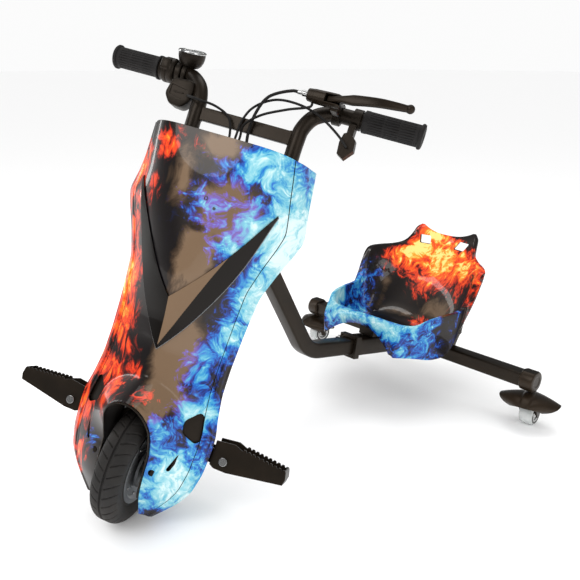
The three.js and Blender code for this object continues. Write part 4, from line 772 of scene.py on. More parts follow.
def cut_away(piece, cutters, overlapping=False):
    """Takes the cutters' shapes out of the piece and removes the cutters.

    Where the piece's own parts overlap, the cut also makes them one body.
    """
    for cutter in cutters:
        knife = piece.modifiers.new("cut", "BOOLEAN")
        knife.operation = "DIFFERENCE"
        knife.solver = "EXACT"
        knife.material_mode = "TRANSFER"
        knife.use_self = overlapping
        knife.object = cutter
    baked(piece)
    for cutter in cutters:
        bpy.data.objects.remove(cutter)
    shade(piece.data)
    return piece


def prism(name, outline, low, high, axis="y", finish="black_plastic"):
    """A flat outline of pairs given depth between two places along an axis."""
    outline = np.asarray(outline, float)
    count = len(outline)
    made = []
    for place in (low, high):
        column = np.full(count, float(place))
        a, b = outline[:, 0], outline[:, 1]
        order = {"x": (column, a, b), "y": (a, column, b), "z": (a, b, column)}[axis]
        made.append(np.stack(order, 1))
    faces = [tuple(range(count)), tuple(range(count, 2 * count))]
    faces += [(n, (n + 1) % count, count + (n + 1) % count, count + n) for n in range(count)]
    return piece_of(name, np.concatenate(made), faces, finish)


print("shape helpers ready")

# %% [markdown]
# ## Front fairing
# The fairing is two glossy mouldings that meet at a seam. Its width, depth and squareness change
# from the cheeks beside the wheel to the broad top, so it is made from a short table of rows.
# Between the rows the values run smoothly, which rounds the corners as a mould does. The arch
# over the wheel swells out to a lip, and the mouth is then cut clean.

# %% The fairing's form
FAIRING_LOW, FAIRING_HIGH, FAIRING_HALF = -95, 506, 155
SEAM_V, FRONT_DEPTH, BACK_V = -57, 93, -26
SHELL_WALL = 2.6
SEAM_SHARE = 0.84
ARCH_HALF, ARCH_CENTRE = 41, 45
FLARE_WIDE, FLARE_HIGH, FLARE_POWER = 40, 47, 1.2
VENT_X, VENT_W = 90, 70
ROW_BLUR = 9  # how far a row's corner is rounded along the height, in millimetres
FAR = 300  # a cutting tool reaches this far
# share of the height, share of the half width, share of the depth, squareness of the section
FAIRING_ROWS = [
    (0.0, 0.39, 0.2, 2.0), (0.024, 0.48, 0.34, 2.0), (0.06, 0.61, 0.5, 2.0),
    (0.1, 0.71, 0.56, 2.0), (0.158, 0.765, 0.59, 2.0), (0.225, 0.78, 0.6, 2.0),
    (0.265, 0.775, 0.6, 1.9), (0.31, 0.735, 0.6, 1.7), (0.374, 0.7, 0.61, 1.4),
    (0.444, 0.697, 0.61, 1.25), (0.522, 0.71, 0.7, 1.3), (0.582, 0.725, 0.82, 1.4),
    (0.649, 0.75, 0.93, 1.55), (0.719, 0.845, 0.97, 1.75), (0.777, 0.942, 0.98, 2.0),
    (0.82, 1.0, 0.985, 2.2), (0.87, 0.965, 0.99, 2.6), (0.903, 0.942, 1.0, 3.2),
    (0.943, 0.923, 1.0, 4.2), (1.0, 0.89, 1.0, 6.0),
]


def blurred(values, reach):
    """A running mean that keeps the slope at both ends."""
    padded = np.pad(values, reach, mode="reflect", reflect_type="odd")
    return np.convolve(padded, np.ones(2 * reach + 1) / (2 * reach + 1), "valid")


fairing_heights = np.arange(FAIRING_LOW, FAIRING_HIGH + 1.0)
fairing_table = np.array(FAIRING_ROWS)
height_shares = (fairing_heights - FAIRING_LOW) / (FAIRING_HIGH - FAIRING_LOW)
fairing_values = [
    blurred(np.interp(height_shares, fairing_table[:, 0], fairing_table[:, k]), ROW_BLUR)
    for k in (1, 2, 3)
]


def fairing_half(w):
    """Half the fairing's width at a height."""
    return np.interp(w, fairing_heights, fairing_values[0]) * FAIRING_HALF


def fairing_front(x, w):
    """The front surface's place along v, without the arch's flare."""
    depth = np.interp(w, fairing_heights, fairing_values[1]) * FRONT_DEPTH
    power = np.interp(w, fairing_heights, fairing_values[2])
    share = np.minimum(1, np.abs(x) / fairing_half(w))
    return SEAM_V - depth * (1 - share ** power)


def front_at(x, w):
    """The front surface's place at one point."""
    return float(fairing_front(np.array(x), np.array(w)))


def smoothstep(value, low, high):
    """0 below low, 1 above high, and a soft step between."""
    t = np.clip((value - low) / (high - low), 0, 1)
    return t * t * (3 - 2 * t)


def arch_distance(x, w):
    """How far a point lies outside the arch's lip."""
    return np.where(w > ARCH_CENTRE, np.hypot(x, w - ARCH_CENTRE), np.abs(x)) - ARCH_HALF


def flare_rise(x, w):
    """How far the surface swells out round the arch."""
    share = np.clip(arch_distance(x, w) / FLARE_WIDE, 0, 1)
    return FLARE_HIGH * smoothstep(w, 0, ARCH_CENTRE + ARCH_HALF) * (1 - share) ** FLARE_POWER


print("fairing is", FAIRING_HIGH - FAIRING_LOW, "mm high and", 2 * FAIRING_HALF, "mm wide")

# %% [markdown]
# The print is laid out as soft spots of heat and cold over the shell, and the black middle takes
# soft spots of painted brown reflection; each spot is given by its place, reach and strength.
# Flames fill one side, ice the other, and the middle stays black under the painted reflection.

# %% Zones of the print on the fairing
# x, w, reach in x, reach in w, strength
HOT_SPOTS = [
    (-108, 262, 36, 62, 1.02), (-92, 192, 36, 60, 0.84), (-58, 148, 34, 34, 0.6),
    (-88, 110, 50, 36, 0.8), (-104, 40, 34, 60, 0.7), (-100, -40, 40, 50, 0.64),
    (-112, 345, 26, 50, 0.74), (-124, 430, 30, 60, 0.8), (-72, 474, 40, 32, 0.6),
    (-18, 486, 22, 22, 0.5), (-84, 404, 22, 34, 0.6), (16, 100, 26, 16, 0.6),
    (-52, 84, 30, 40, 0.74), (-30, 128, 30, 20, 0.6), (-140, 395, 20, 60, 0.74),
]
COLD_SPOTS = [
    (30, 402, 62, 44, 0.64), (66, 352, 34, 30, 0.92), (50, 456, 60, 34, 0.62),
    (100, 480, 60, 50, 0.92), (136, 395, 44, 110, 1.26), (90, 380, 40, 50, 0.92),
    (112, 290, 30, 60, 1.12), (94, 225, 26, 60, 0.9), (72, 150, 34, 60, 0.74),
    (84, 90, 36, 44, 0.92), (56, 60, 26, 30, 0.7), (84, -20, 60, 70, 1.12),
    (40, -64, 50, 30, 0.82), (-62, -6, 16, 26, 0.6),
]
# painted brown reflection on the glossy black middle
REFLECTION_SPOTS = [
    (24, 322, 30, 52, 1.3), (26, 180, 34, 56, 1.5), (34, 108, 32, 36, 1.2),
    (-36, 436, 26, 50, 0.8), (10, 492, 36, 24, 1.0), (52, 398, 50, 50, 1.2),
]


SPOT_FALL = 0.8  # how fast a spot fades beyond its middle


def spots_at(spots, a, b):
    """The strongest of the spots at each place, each one fading out round its middle."""
    total = np.zeros_like(a)
    for middle_a, middle_b, reach_a, reach_b, amount in spots:
        away = ((a - middle_a) / reach_a) ** 2 + ((b - middle_b) / reach_b) ** 2
        total = np.maximum(total, amount * np.exp(-away * SPOT_FALL))
    return total


def paint_zones(piece, heat, cold, brown_reflection):
    """Stores the print's zones, and the painted brown reflection, on the mesh's points."""
    layer = piece.data.color_attributes.new("zones", "FLOAT_COLOR", "POINT")
    values = np.stack([heat, cold, brown_reflection, np.ones_like(heat)], 1).astype(np.float32)
    layer.data.foreach_set("color", values.ravel())


def paint_fairing(piece):
    """Lays the print's spots and the painted reflection over one of the fairing's shells."""
    x, _, w = points_of(piece).T
    paint_zones(piece, *(spots_at(spots, x, w) for spots in (HOT_SPOTS, COLD_SPOTS, REFLECTION_SPOTS)))


print(len(HOT_SPOTS), "hot,", len(COLD_SPOTS), "cold and", len(REFLECTION_SPOTS), "smoke spots")

# %% [markdown]
# The front shell is a fine grid over the form, thickened inwards. The wheel's mouth, the two
# vents and the small recesses on the cheeks are cut from it, and every cut edge is rounded.

# %% Front shell
FRONT_ROWS, FRONT_COLUMNS = 240, 160
VENT_OUTLINE = [(0, 26), (20, 12), (26, -6), (8, -24), (-18, -12), (-22, 8)]
VENT_STRETCH = 0.8
CHEEK_HOLE = (51, -15, 5)
CHEEK_SLOT = ((72, -3), (81, 21), 2.6)
RECESS = 1.5


def arch_outline(half, low):
    """An arch with straight sides down to low."""
    angles = np.linspace(0, math.pi, 49)
    top = [(half * math.cos(a), ARCH_CENTRE + half * math.sin(a)) for a in angles]
    return [(half, low), *top, (-half, low)]


def capsule(start, end, radius):
    """The outline round a short slot."""
    start, end = np.array(start, float), np.array(end, float)
    way = math.atan2(*(end - start)[::-1])
    turn = [way - math.pi / 2 + math.pi * k / 8 for k in range(9)]
    round_end = [radius * np.array((math.cos(a), math.sin(a))) for a in turn]
    return [end + p for p in round_end] + [start - p for p in round_end]


def round_corners(outline, radius, steps=4):
    """Rounds the corners of an outline by cutting each one back to a short curve."""
    made = []
    outline = [np.array(p, float) for p in outline]
    for n, corner in enumerate(outline):
        before, after = outline[n - 1], outline[(n + 1) % len(outline)]
        start = corner + (before - corner) / np.linalg.norm(before - corner) * radius
        end = corner + (after - corner) / np.linalg.norm(after - corner) * radius
        for t in np.linspace(0, 1, steps):
            made.append((1 - t) ** 2 * start + 2 * t * (1 - t) * corner + t * t * end)
    return made


def front_shell():
    """The front shell with its mouth, vents and small recesses."""
    heights = np.linspace(FAIRING_LOW, FAIRING_HIGH, FRONT_ROWS)[:, None]
    shares = np.linspace(-SEAM_SHARE, SEAM_SHARE, FRONT_COLUMNS)[None, :]
    x = shares * fairing_half(heights)
    w = heights + 0 * x
    grid = np.stack([x, fairing_front(x, w) - flare_rise(x, w), w], 2)
    shell = skin("front_shell_printed", grid, SHELL_WALL, "fire_shell", "black_plastic")
    cutters = [prism("mouth", arch_outline(ARCH_HALF, FAIRING_LOW - FAR), -FAR, 0)]
    for side in (-1, 1):
        vent = [(side * (VENT_X + a * VENT_STRETCH), VENT_W + b) for a, b in VENT_OUTLINE]
        cutters.append(prism("vent", round_corners(vent, 5), -FAR, SEAM_V))
        hole_x, hole_w, hole_radius = CHEEK_HOLE
        hole = round_outline(hole_radius) + (side * hole_x, hole_w)
        cutters.append(prism("hole", hole, -FAR, front_at(hole_x, hole_w) + RECESS))
        start, end, radius = CHEEK_SLOT
        slot = [(side * a, b) for a, b in capsule(start, end, radius)]
        depth = front_at((start[0] + end[0]) / 2, (start[1] + end[1]) / 2) + RECESS
        cutters.append(prism("slot", slot, -FAR, depth))
    cut_away(shell, cutters)
    paint_fairing(shell)
    soften(shell, 0.5)
    return settle(shell, "steering", STEERED, ["front_shell"])


front = front_shell()
print(front.name, len(front.data.polygons), "faces")

# %% [markdown]
# The rear shell closes the fairing behind the seam. Its sides carry a long raised step, and its
# back has room for the fork, the folded pegs and the handlebar's uprights. One section is drawn
# at each height, from the seam round the back to the other seam, and the sections make a grid.

# %% Rear shell
LEG_OUTER = 36.5
SLOT_HALF = LEG_OUTER + 10
CROWN_TOP = 104
YOKE_W = 501
UPRIGHT_X, UPRIGHT_V = 89, -48
PEG_PIVOT_W, PEG_FRONT_V = 30, -48
FOLD_X = 104
STEP_HIGH = 1.1
STEP_EDGES = ((0.88, 0.885), (0.95, 0.955))  # where the raised step rises and falls, as shares
SEAM_GAP = 0.006  # a share of the half width, left open between the shells
REAR_ROWS = 130


def brick(name, low, high, finish="black_plastic"):
    """A box between two corners, used for cutting."""
    (x0, y0, z0), (x1, y1, z1) = low, high
    outline = [(x0, z0), (x1, z0), (x1, z1), (x0, z1)]
    return prism(name, outline, y0, y1, finish=finish)


def rear_line(w):
    """One half of the rear shell's section, from the seam round to the middle of the back."""
    wide = float(fairing_half(w))
    side = []
    for u in np.linspace(SEAM_SHARE + SEAM_GAP, 1, 14):
        up, down = (smoothstep(u, *edge) for edge in STEP_EDGES)
        step = STEP_HIGH * (up - down)
        side.append((u * wide + step, front_at(u * wide, w) - step))
    corners = [(wide, SEAM_V), (wide * 0.965, SEAM_V + 16), (wide * 0.87, BACK_V - 3),
               (wide * 0.5, BACK_V), (0, BACK_V)]
    back = []
    for start, end in zip(corners, corners[1:]):
        for t in np.arange(1, 11) / 10:
            back.append(tuple(np.array(start) * (1 - t) + np.array(end) * t))
    return side + back


def rear_shell():
    """The rear shell with room for the fork, the bar and the folded pegs."""
    grid = []
    for w in np.linspace(FAIRING_LOW, FAIRING_HIGH, REAR_ROWS):
        half_line = rear_line(w)
        line = [(-x, v) for x, v in half_line] + half_line[-2::-1]
        grid.append([(x, v, w) for x, v in line])
    shell = skin("rear_shell_printed", np.array(grid), -SHELL_WALL, "fire_shell", "black_plastic")
    notch_half = UPRIGHT_X + 22
    cutters = [
        brick("fork_room", (-SLOT_HALF, -FAR, FAIRING_LOW - FAR), (SLOT_HALF, FAR, CROWN_TOP + 6)),
        brick("bar_room", (-notch_half, BACK_V - 12, YOKE_W - 12),
              (notch_half, FAR, FAIRING_HIGH + FAR)),
    ]
    low, front_v, back_v = PEG_PIVOT_W - 26, PEG_FRONT_V - 6, PEG_FRONT_V + 54
    for side in (-1, 1):
        for inner, high in ((SLOT_HALF - 1, 58), (FOLD_X, 130)):
            left, right = sorted((side * inner, side * (inner + FAIRING_HALF)))
            cutters.append(brick("peg_room", (left, front_v, low), (right, back_v, low + high)))
    cut_away(shell, cutters)
    paint_fairing(shell)
    soften(shell, 0.5)
    return settle(shell, "steering", STEERED, ["rear_shell"])


rear = rear_shell()
print(rear.name, len(rear.data.polygons), "faces")

# %% [markdown]
# A gloss black V lies on the front shell. Its two arms taper to points, and each arm is highest
# along its outer edge. An arm lies between two bowed curves, so it is drawn as rows that run
# from the outer curve to the inner one, and the second arm is the mirror of the first. One facet
# carries a painted warm brown reflection.

# %% V-shaped insert
INSERT_TIP = (118, 428)
INSERT_OUTER_W, INSERT_INNER_W = 172, 255
INSERT_LIFT, INSERT_THICK = 0.7, 3.0
OUTER_BOW = (INSERT_TIP[0] * 0.66, INSERT_OUTER_W + 95)
INNER_BOW = (INSERT_TIP[0] * 0.52, INSERT_INNER_W + 62)
INSERT_START = 0.03  # the arms begin this far from their sharp tips, as a share
INSERT_ROWS, INSERT_COLUMNS = 110, 42
# the facet that carries the painted brown reflection
FACET_LOW, FACET_SLOPE = 176, 2.45  # the warm facet lies above this line, on one side


def insert_edge(share, low_w, bow):
    """A point on the insert's edge, on one bowed curve from the tip to the middle."""
    tip, end = np.array(INSERT_TIP, float), np.array((0.0, low_w))
    return (1 - share) ** 2 * tip + 2 * share * (1 - share) * np.array(bow) + share ** 2 * end


def facet_reflection(x, w):
    """The painted brown reflection on the one warm facet."""
    above = smoothstep(w - FACET_LOW - FACET_SLOPE * x, -1.5, 1.5)
    return 1.8 * above * smoothstep(x, 0, 1.2)


def v_insert():
    """Both arms of the V as one closed body."""
    arm = []
    for share in np.linspace(INSERT_START, 1, INSERT_ROWS):
        outer = insert_edge(share, INSERT_OUTER_W, OUTER_BOW)
        inner = insert_edge(share, INSERT_INNER_W, INNER_BOW)
        arm.append([outer * (1 - t) + inner * t for t in np.linspace(0, 1, INSERT_COLUMNS)])
    arm = np.array(arm)
    flat = np.concatenate([arm, arm[-2::-1] * (-1, 1)])
    x, w = flat[..., 0], flat[..., 1]
    crown = np.linspace(1, 0.55, INSERT_COLUMNS)[None, :]
    top = fairing_front(x, w) - INSERT_LIFT - INSERT_THICK * crown
    low = fairing_front(x, w) - INSERT_LIFT * 0.5
    piece = sheet("v_insert_gloss", np.stack([x, top, w], 2), np.stack([x, low, w], 2),
                  "insert_gloss")
    x, _, w = points_of(piece).T
    # no print on the insert, only the painted brown reflection on one facet
    paint_zones(piece, 0 * x, 0 * x, facet_reflection(x, w))
    soften(piece, 0.7, 3)
    return settle(piece, "steering", STEERED, ["v_insert"])


insert = v_insert()
print(insert.name, len(insert.data.polygons), "faces")

# %% [markdown]
# ## Seat
# The bucket seat is one thin glossy moulding: a lip that rolls down in front, a pan, sides that
# rise and turn down into a skirt, and a backrest with two slots. It is made from rows too. The
# print covers the inside, and the underside is plain black.

# %% The seat's form
SEAT_FRONT_Y, SEAT_DEPTH = 590, 305
SEAT_LOW_Z, SEAT_HIGH = 141, 204
SEAT_HALF, SEAT_WALL = 158, 4
SEAT_RIM, SEAT_SKIRT, SEAT_END = 0.92, 0.975, 1.02
SLOT_X, SLOT_Z = 49, 314
# centre depth, centre height, half width, edge depth, edge height, how late the sides rise,
# how far the floor sinks, skirt depth, skirt height
SEAT_ROWS = [
    (0.02, 0.2, 0.6, -0.02, 0.01, 2.2, 0, -0.01, -0.015),
    (-0.01, 0.27, 0.65, -0.005, 0.12, 2.2, 0, 0.02, -0.02),
    (0.02, 0.325, 0.71, 0.03, 0.2, 2.6, 0, 0.066, -0.025),
    (0.06, 0.32, 0.79, 0.115, 0.28, 3.2, 0, 0.138, -0.045),
    (0.13, 0.24, 0.87, 0.19, 0.35, 5, 0.08, 0.213, -0.07),
    (0.24, 0.085, 0.925, 0.33, 0.365, 8, 0.2, 0.328, -0.07),
    (0.4, 0.04, 0.955, 0.47, 0.36, 9, 0.18, 0.387, 0.005),
    (0.515, 0.05, 0.965, 0.545, 0.38, 8, 0.15, 0.469, 0.18),
    (0.585, 0.15, 0.985, 0.6, 0.5, 5, 0.09, 0.57, 0.41),
    (0.64, 0.28, 1.0, 0.645, 0.64, 3.6, 0.03, 0.635, 0.605),
    (0.7, 0.42, 1.0, 0.68, 0.72, 3, 0, 0.675, 0.7),
    (0.76, 0.53, 0.975, 0.715, 0.745, 2.6, 0, 0.714, 0.735),
    (0.82, 0.62, 0.88, 0.775, 0.755, 2.3, 0, 0.775, 0.75),
    (0.865, 0.69, 0.73, 0.83, 0.77, 2.2, 0, 0.83, 0.765),
    (0.905, 0.76, 0.6, 0.885, 0.8, 2, 0, 0.886, 0.8),
    (0.945, 0.83, 0.545, 0.94, 0.88, 2, 0, 0.941, 0.88),
    (0.98, 0.9, 0.52, 0.975, 0.965, 2.4, 0, 0.976, 0.965),
    (0.994, 0.925, 0.455, 0.999, 1.0, 2.6, 0, 0.999, 1.0),
]
ROW_STEPS = 14  # samples from one row to the next
SEAT_BLUR = 6  # samples over which a row's corner is rounded


def seat_surface():
    """The seat's upper surface as a grid, with its row number and share across at each point."""
    table = np.array(SEAT_ROWS, float)
    numbers = np.arange(len(table))
    t = np.linspace(0, numbers[-1], numbers[-1] * ROW_STEPS + 1)
    values = [blurred(np.interp(t, numbers, table[:, k]), SEAT_BLUR)[:, None] for k in range(9)]
    depth, high, wide, edge_depth, edge_high, power, sink, skirt_depth, skirt_high = values
    inner = np.linspace(0, SEAT_RIM, 58)
    outer = np.linspace(SEAT_RIM, SEAT_END, 13)[1:]
    half_line = np.concatenate([inner, outer])
    s = np.concatenate([-half_line[:0:-1], half_line])[None, :]
    share = np.abs(s)
    rise = np.minimum(1, share / SEAT_RIM) ** power
    fall = np.clip((share - SEAT_SKIRT) / (SEAT_END - SEAT_SKIRT), 0, 1)
    flat = depth + (edge_depth - depth) * rise
    level = high + (edge_high - high) * rise - sink * share ** 2 * (1 - rise)
    x = s * wide * SEAT_HALF
    y = SEAT_FRONT_Y + SEAT_DEPTH * (flat + (skirt_depth - flat) * fall)
    z = SEAT_LOW_Z + SEAT_HIGH * (level + (skirt_high - level) * fall)
    return np.stack([x, y + 0 * x, z + 0 * x], 2), t[:, None] + 0 * x, s + 0 * x


# s across from the right side to the left, row number, reach in s, reach in rows, strength
SEAT_HOT = [
    (-0.5, 13.4, 0.5, 3.0, 1.22), (0.15, 13.0, 0.5, 3.2, 1.16), (0.65, 12.4, 0.36, 3.0, 1.04),
    (-0.3, 16.2, 0.7, 2.0, 1.18), (0.3, 15.6, 0.4, 1.6, 1.08), (0.95, 9.5, 0.14, 2.4, 0.76),
    (0.9, 12.0, 0.2, 2.6, 0.86), (0.0, 10.2, 0.36, 1.4, 0.82), (0.3, 7.4, 0.3, 0.7, 0.64),
    (-0.8, 12.4, 0.16, 1.4, 0.46),
]
SEAT_COLD = [
    (-0.76, 3.4, 0.4, 2.2, 1.1), (-0.86, 7.0, 0.3, 2.2, 0.62), (-0.3, 5.3, 0.6, 0.9, 0.8),
    (0.2, 5.4, 0.6, 0.9, 0.76), (-0.3, 1.4, 0.9, 1.6, 1.0), (0.5, 1.6, 0.6, 1.8, 1.0),
    (0.8, 3.0, 0.3, 2.2, 0.92), (0.6, 5.9, 0.4, 1.2, 0.72), (-0.98, 4.4, 0.1, 1.8, 0.86),
    (-0.72, 8.8, 0.2, 1.2, 0.56),
]
# painted brown reflection on the glossy seat
SEAT_REFLECTION = [
    (0.44, 8.6, 0.3, 0.9, 0.7), (-0.56, 8.9, 0.1, 1.3, 0.66), (-0.1, 7.7, 0.5, 0.35, 0.6),
]
SEAT_DARK = [
    (0.62, 17.2, 0.42, 1.2, 1.0), (-0.98, 12.4, 0.16, 1.8, 0.9), (-0.4, 8.8, 0.34, 0.8, 0.8),
]


def seat_slot(side):
    """The cutter for one slot in the backrest."""
    high, wide, slant = 17, 27, 4 * side
    outline = [(-wide / 2 - slant, -high / 2), (wide / 2 - slant, -high / 2),
               (wide / 2 + slant, high / 2), (-wide / 2 + slant, high / 2)]
    placed = [(side * SLOT_X + a, SLOT_Z + b) for a, b in round_corners(outline, 3)]
    return prism("slot", placed, SEAT_FRONT_Y + SEAT_DEPTH / 2, SEAT_FRONT_Y + 2 * SEAT_DEPTH)


def seat_shell():
    """The seat. Each point takes its zones from the nearest point of the grid."""
    grid, rows, shares = seat_surface()
    shell = skin("seat_shell_printed", grid, SEAT_WALL, "fire_shell", "gloss_black")
    tree = KDTree(grid.shape[0] * grid.shape[1])
    for n, point in enumerate(grid.reshape(-1, 3)):
        tree.insert(point, n)
    tree.balance()
    cut_away(shell, [seat_slot(1), seat_slot(-1)])
    nearest = np.array([tree.find(point)[1] for point in points_of(shell)])
    s, t = shares.reshape(-1)[nearest], rows.reshape(-1)[nearest]
    dark = 1 - spots_at(SEAT_DARK, s, t)
    paint_zones(shell, spots_at(SEAT_HOT, s, t) * dark, spots_at(SEAT_COLD, s, t) * dark,
                spots_at(SEAT_REFLECTION, s, t))
    soften(shell, 1.2, 3, clamped=True)
    return settle(shell, "rear", LEVEL, ["seat_shell"])


seat = seat_shell()
print(seat.name, len(seat.data.polygons), "faces")

# %% [markdown]
# ## Front wheel
# The tyre has a round shoulder, one groove round its middle and slanted grooves that run out to
# the sides. The grooves are real: each point of a fine turned grid is moved in where one runs.

# %% Tyre with its tread
HUB_V, HUB_W = -60 * math.cos(rake), -60 * math.sin(rake)
HUB_PLACE = STEERED @ Matrix.Translation((0, HUB_V * MM, HUB_W * MM))
TYRE_RADIUS, TYRE_HALF, SHOULDER, RIM_RADIUS = 99.4, 25, 19, 62
CENTRE_GROOVE = (1.6, 2.6)
SIDE_GROOVES = 34
SIDE_GROOVE_WIDE, SIDE_GROOVE_DEEP = 2.3, 1.7
SIDE_GROOVE_LEAN = 0.62
TYRE_STEPS = 720


def tyre_section():
    """Half of the tyre's outer section, as places across and radii."""
    flat, spring = TYRE_HALF - SHOULDER, TYRE_RADIUS - SHOULDER
    crown = [(x, float(TYRE_RADIUS)) for x in np.linspace(0, flat, 9)]
    arc = [(flat + SHOULDER * math.cos(a), spring + SHOULDER * math.sin(a))
           for a in np.linspace(math.pi / 2, 0, 22)[1:]]
    bead = TYRE_HALF - SHOULDER / 4
    wall = [(TYRE_HALF - 1.2, (spring + RIM_RADIUS) / 2 + 3), (bead + 0.6, RIM_RADIUS + 5),
            (bead - 0.4, RIM_RADIUS + 3.4), (bead, RIM_RADIUS + 2), (bead, RIM_RADIUS)]
    return crown + arc + wall


def front_tyre():
    """The tyre with its grooves. Every point is a place across, an angle and a radius."""
    half_line = tyre_section()
    line = np.array([(-x, r) for x, r in half_line[:0:-1]] + half_line)
    x, r = line[:, :1], line[:, 1:]
    angles = np.linspace(0, 2 * math.pi, TYRE_STEPS, endpoint=False)[None, :]
    across = np.abs(x) + 0 * angles
    pitch = 2 * math.pi / SIDE_GROOVES
    lean = across * SIDE_GROOVE_LEAN / TYRE_RADIUS + np.where(x > 0, pitch / 2, 0)
    away = np.abs((angles + lean + pitch / 2) % pitch - pitch / 2) * TYRE_RADIUS
    groove = 1 - smoothstep(away, SIDE_GROOVE_WIDE * 0.3, SIDE_GROOVE_WIDE * 0.62)
    reach = smoothstep(across, 3.5, 4.5) * (1 - smoothstep(across, 22.5, 24.5))
    centre = 1 - smoothstep(across, CENTRE_GROOVE[0] * 0.7, CENTRE_GROOVE[0] * 1.25)
    outer = smoothstep(r, TYRE_RADIUS - SHOULDER - 1, TYRE_RADIUS - SHOULDER + 6)
    deep = np.maximum(SIDE_GROOVE_DEEP * groove * reach * outer, CENTRE_GROOVE[1] * centre)
    radii = r - deep
    points = np.stack([x + 0 * angles, radii * np.cos(angles), radii * np.sin(angles)], 2)
    faces = grid_faces(len(line), TYRE_STEPS, wrap_rows=True, wrap_columns=True)
    tyre = piece_of("front_tyre_treaded", points.reshape(-1, 3), faces, "tyre_rubber", 42)
    return settle(tyre, "front_wheel", HUB_PLACE, ["front_tyre"])


tyre = front_tyre()
print(tyre.name, len(tyre.data.polygons), "faces")

# %% [markdown]
# The hub motor is a cast shell with a shallow dish, cooling ribs and a ring of cover screws.
# The screws are one small turned head, copied round the axle.

# %% Hub motor
MOTOR_HALF, MOTOR_BOSS, AXLE_BORE = 21.5, 15, 6.3
MOTOR_SCREWS = 8
SCREW_RING = 46


def joined(name, parts):
    """Several mesh objects as one, each at its own place."""
    made = bmesh.new()
    for part in parts:
        start = len(made.verts)
        made.from_mesh(part.data)
        made.verts.ensure_lookup_table()
        for vertex in made.verts[start:]:
            vertex.co = part.matrix_basis @ vertex.co
    mesh = bpy.data.meshes.new(name)
    made.to_mesh(mesh)
    made.free()
    for material in parts[0].data.materials:
        mesh.materials.append(material)
    piece = bpy.data.objects.new(name, mesh)
    bpy.context.scene.collection.objects.link(piece)
    for part in parts:
        bpy.data.objects.remove(part)
    shade(mesh)
    return piece


def screw_head(name, radius, high, finish):
    """A pan head with a round socket, its seat at the origin."""
    socket = radius * 0.5
    profile = [(0.01, -0.6), (radius, -0.6), (radius, high * 0.55), (radius * 0.82, high),
               (socket, high), (socket * 0.94, high * 0.45), (0.01, high * 0.45)]
    return turned(name, profile, finish, "x", 24)


def hub_motor():
    """The motor's cast shell, and the cover screws at both sides."""
    body, lip = RIM_RADIUS - 0.3, 4
    well, cover = body - 2 * lip, MOTOR_HALF - lip
    half_line = [(AXLE_BORE, MOTOR_HALF), (MOTOR_BOSS, MOTOR_HALF), (MOTOR_BOSS + lip, cover),
                 (30, cover), (30.6, cover + 0.8), (38, cover + 0.8), (38.6, cover),
                 (well - lip, cover), (well, MOTOR_HALF), (body, MOTOR_HALF)]
    profile = [(r, -x) for r, x in half_line] + half_line[::-1]
    shell = turned("hub_motor_cast", profile, "motor_silver", "x", 120)
    soften(shell, 0.5)
    settle(shell, "front_wheel", HUB_PLACE, ["hub_motor"])
    heads = []
    for side in (-1, 1):
        for n in range(MOTOR_SCREWS):
            head = screw_head("head", 2.6, 2.0, "bright_steel")
            angle = 2 * math.pi * n / MOTOR_SCREWS
            spot = moved(side * cover, SCREW_RING * math.cos(angle), SCREW_RING * math.sin(angle))
            head.matrix_basis = spot @ half_turn(side < 0)
            heads.append(head)
    settle(joined("hub_motor_screws", heads), "front_wheel", HUB_PLACE)
    return shell


motor = hub_motor()
print(motor.name, len(motor.data.polygons), "faces and", 2 * MOTOR_SCREWS, "screws")

# %% [markdown]
# A thin bright line runs round the V, where its edge catches the light, and two small screw
# covers sit on the smooth face above it. The line is a painted highlight: a round bright bead
# swept along the same curve as the insert's edge.

# %% Painted edge highlight and screw covers
HIGHLIGHT_RADIUS = 0.75
COVERS = [(13, 411, 3.2, 2.1), (29, 400, 2.2, 0.02)]  # x, w, outer radius, inner radius


def insert_edge_highlight():
    """A thin bright bead along the outer edge of both arms, a painted highlight."""
    shares = np.linspace(INSERT_START, 1, 90)
    edge = np.array([insert_edge(share, INSERT_OUTER_W - 1, OUTER_BOW) for share in shares])
    halves = []
    for side in (1, -1):
        x, w = side * edge[:, 0], edge[:, 1]
        path = np.stack([x, fairing_front(x, w) - INSERT_LIFT, w], 1)
        halves.append(sweep("half_line", path, round_outline(HIGHLIGHT_RADIUS, 8), "motor_silver"))
    return settle(joined("v_insert_edge_highlight", halves), "steering", STEERED)


def screw_covers():
    """The two covers on the fairing's face."""
    covers = []
    for x, w, outer, inner in COVERS:
        profile = [(inner, -1), (outer, -1), (outer, 0.8), (inner, 0.8)]
        cover = turned("cover", profile, "gloss_black", "y", 32)
        cover.matrix_basis = moved(x, front_at(x, w), w)
        covers.append(cover)
    return settle(joined("screw_covers", covers), "steering", STEERED)


print(insert_edge_highlight().name, screw_covers().name)

# %% [markdown]
# ## Frame tubes
# The main beam is a square tube with rounded corners that bends once on its way down. The rear
# tube takes it in like a sleeve and is welded to the cross tube. A small ripple of weld shows
# wherever two tubes meet.

# %% Main frame
BEAM_SIZE, HEAD_OUTER, HEAD_INNER = 32, 22, 18
HEAD_LOW, HEAD_HIGH, BEAM_JOIN = 385, 484, 440
BEND, BEND_RADIUS = np.array((428.0, 169.0)), 70
REAR_Z = 101
LOWER_SLOPE = math.atan2(REAR_Z - BEND[1], BACK_AXLE - BEND[0])
FOOT_Y, FOOT_Z = 60, foot.z / MM
SLEEVE_LONG, BEAM_INSIDE = 221, 150  # the rear tube's sleeve, and how far the beam goes in


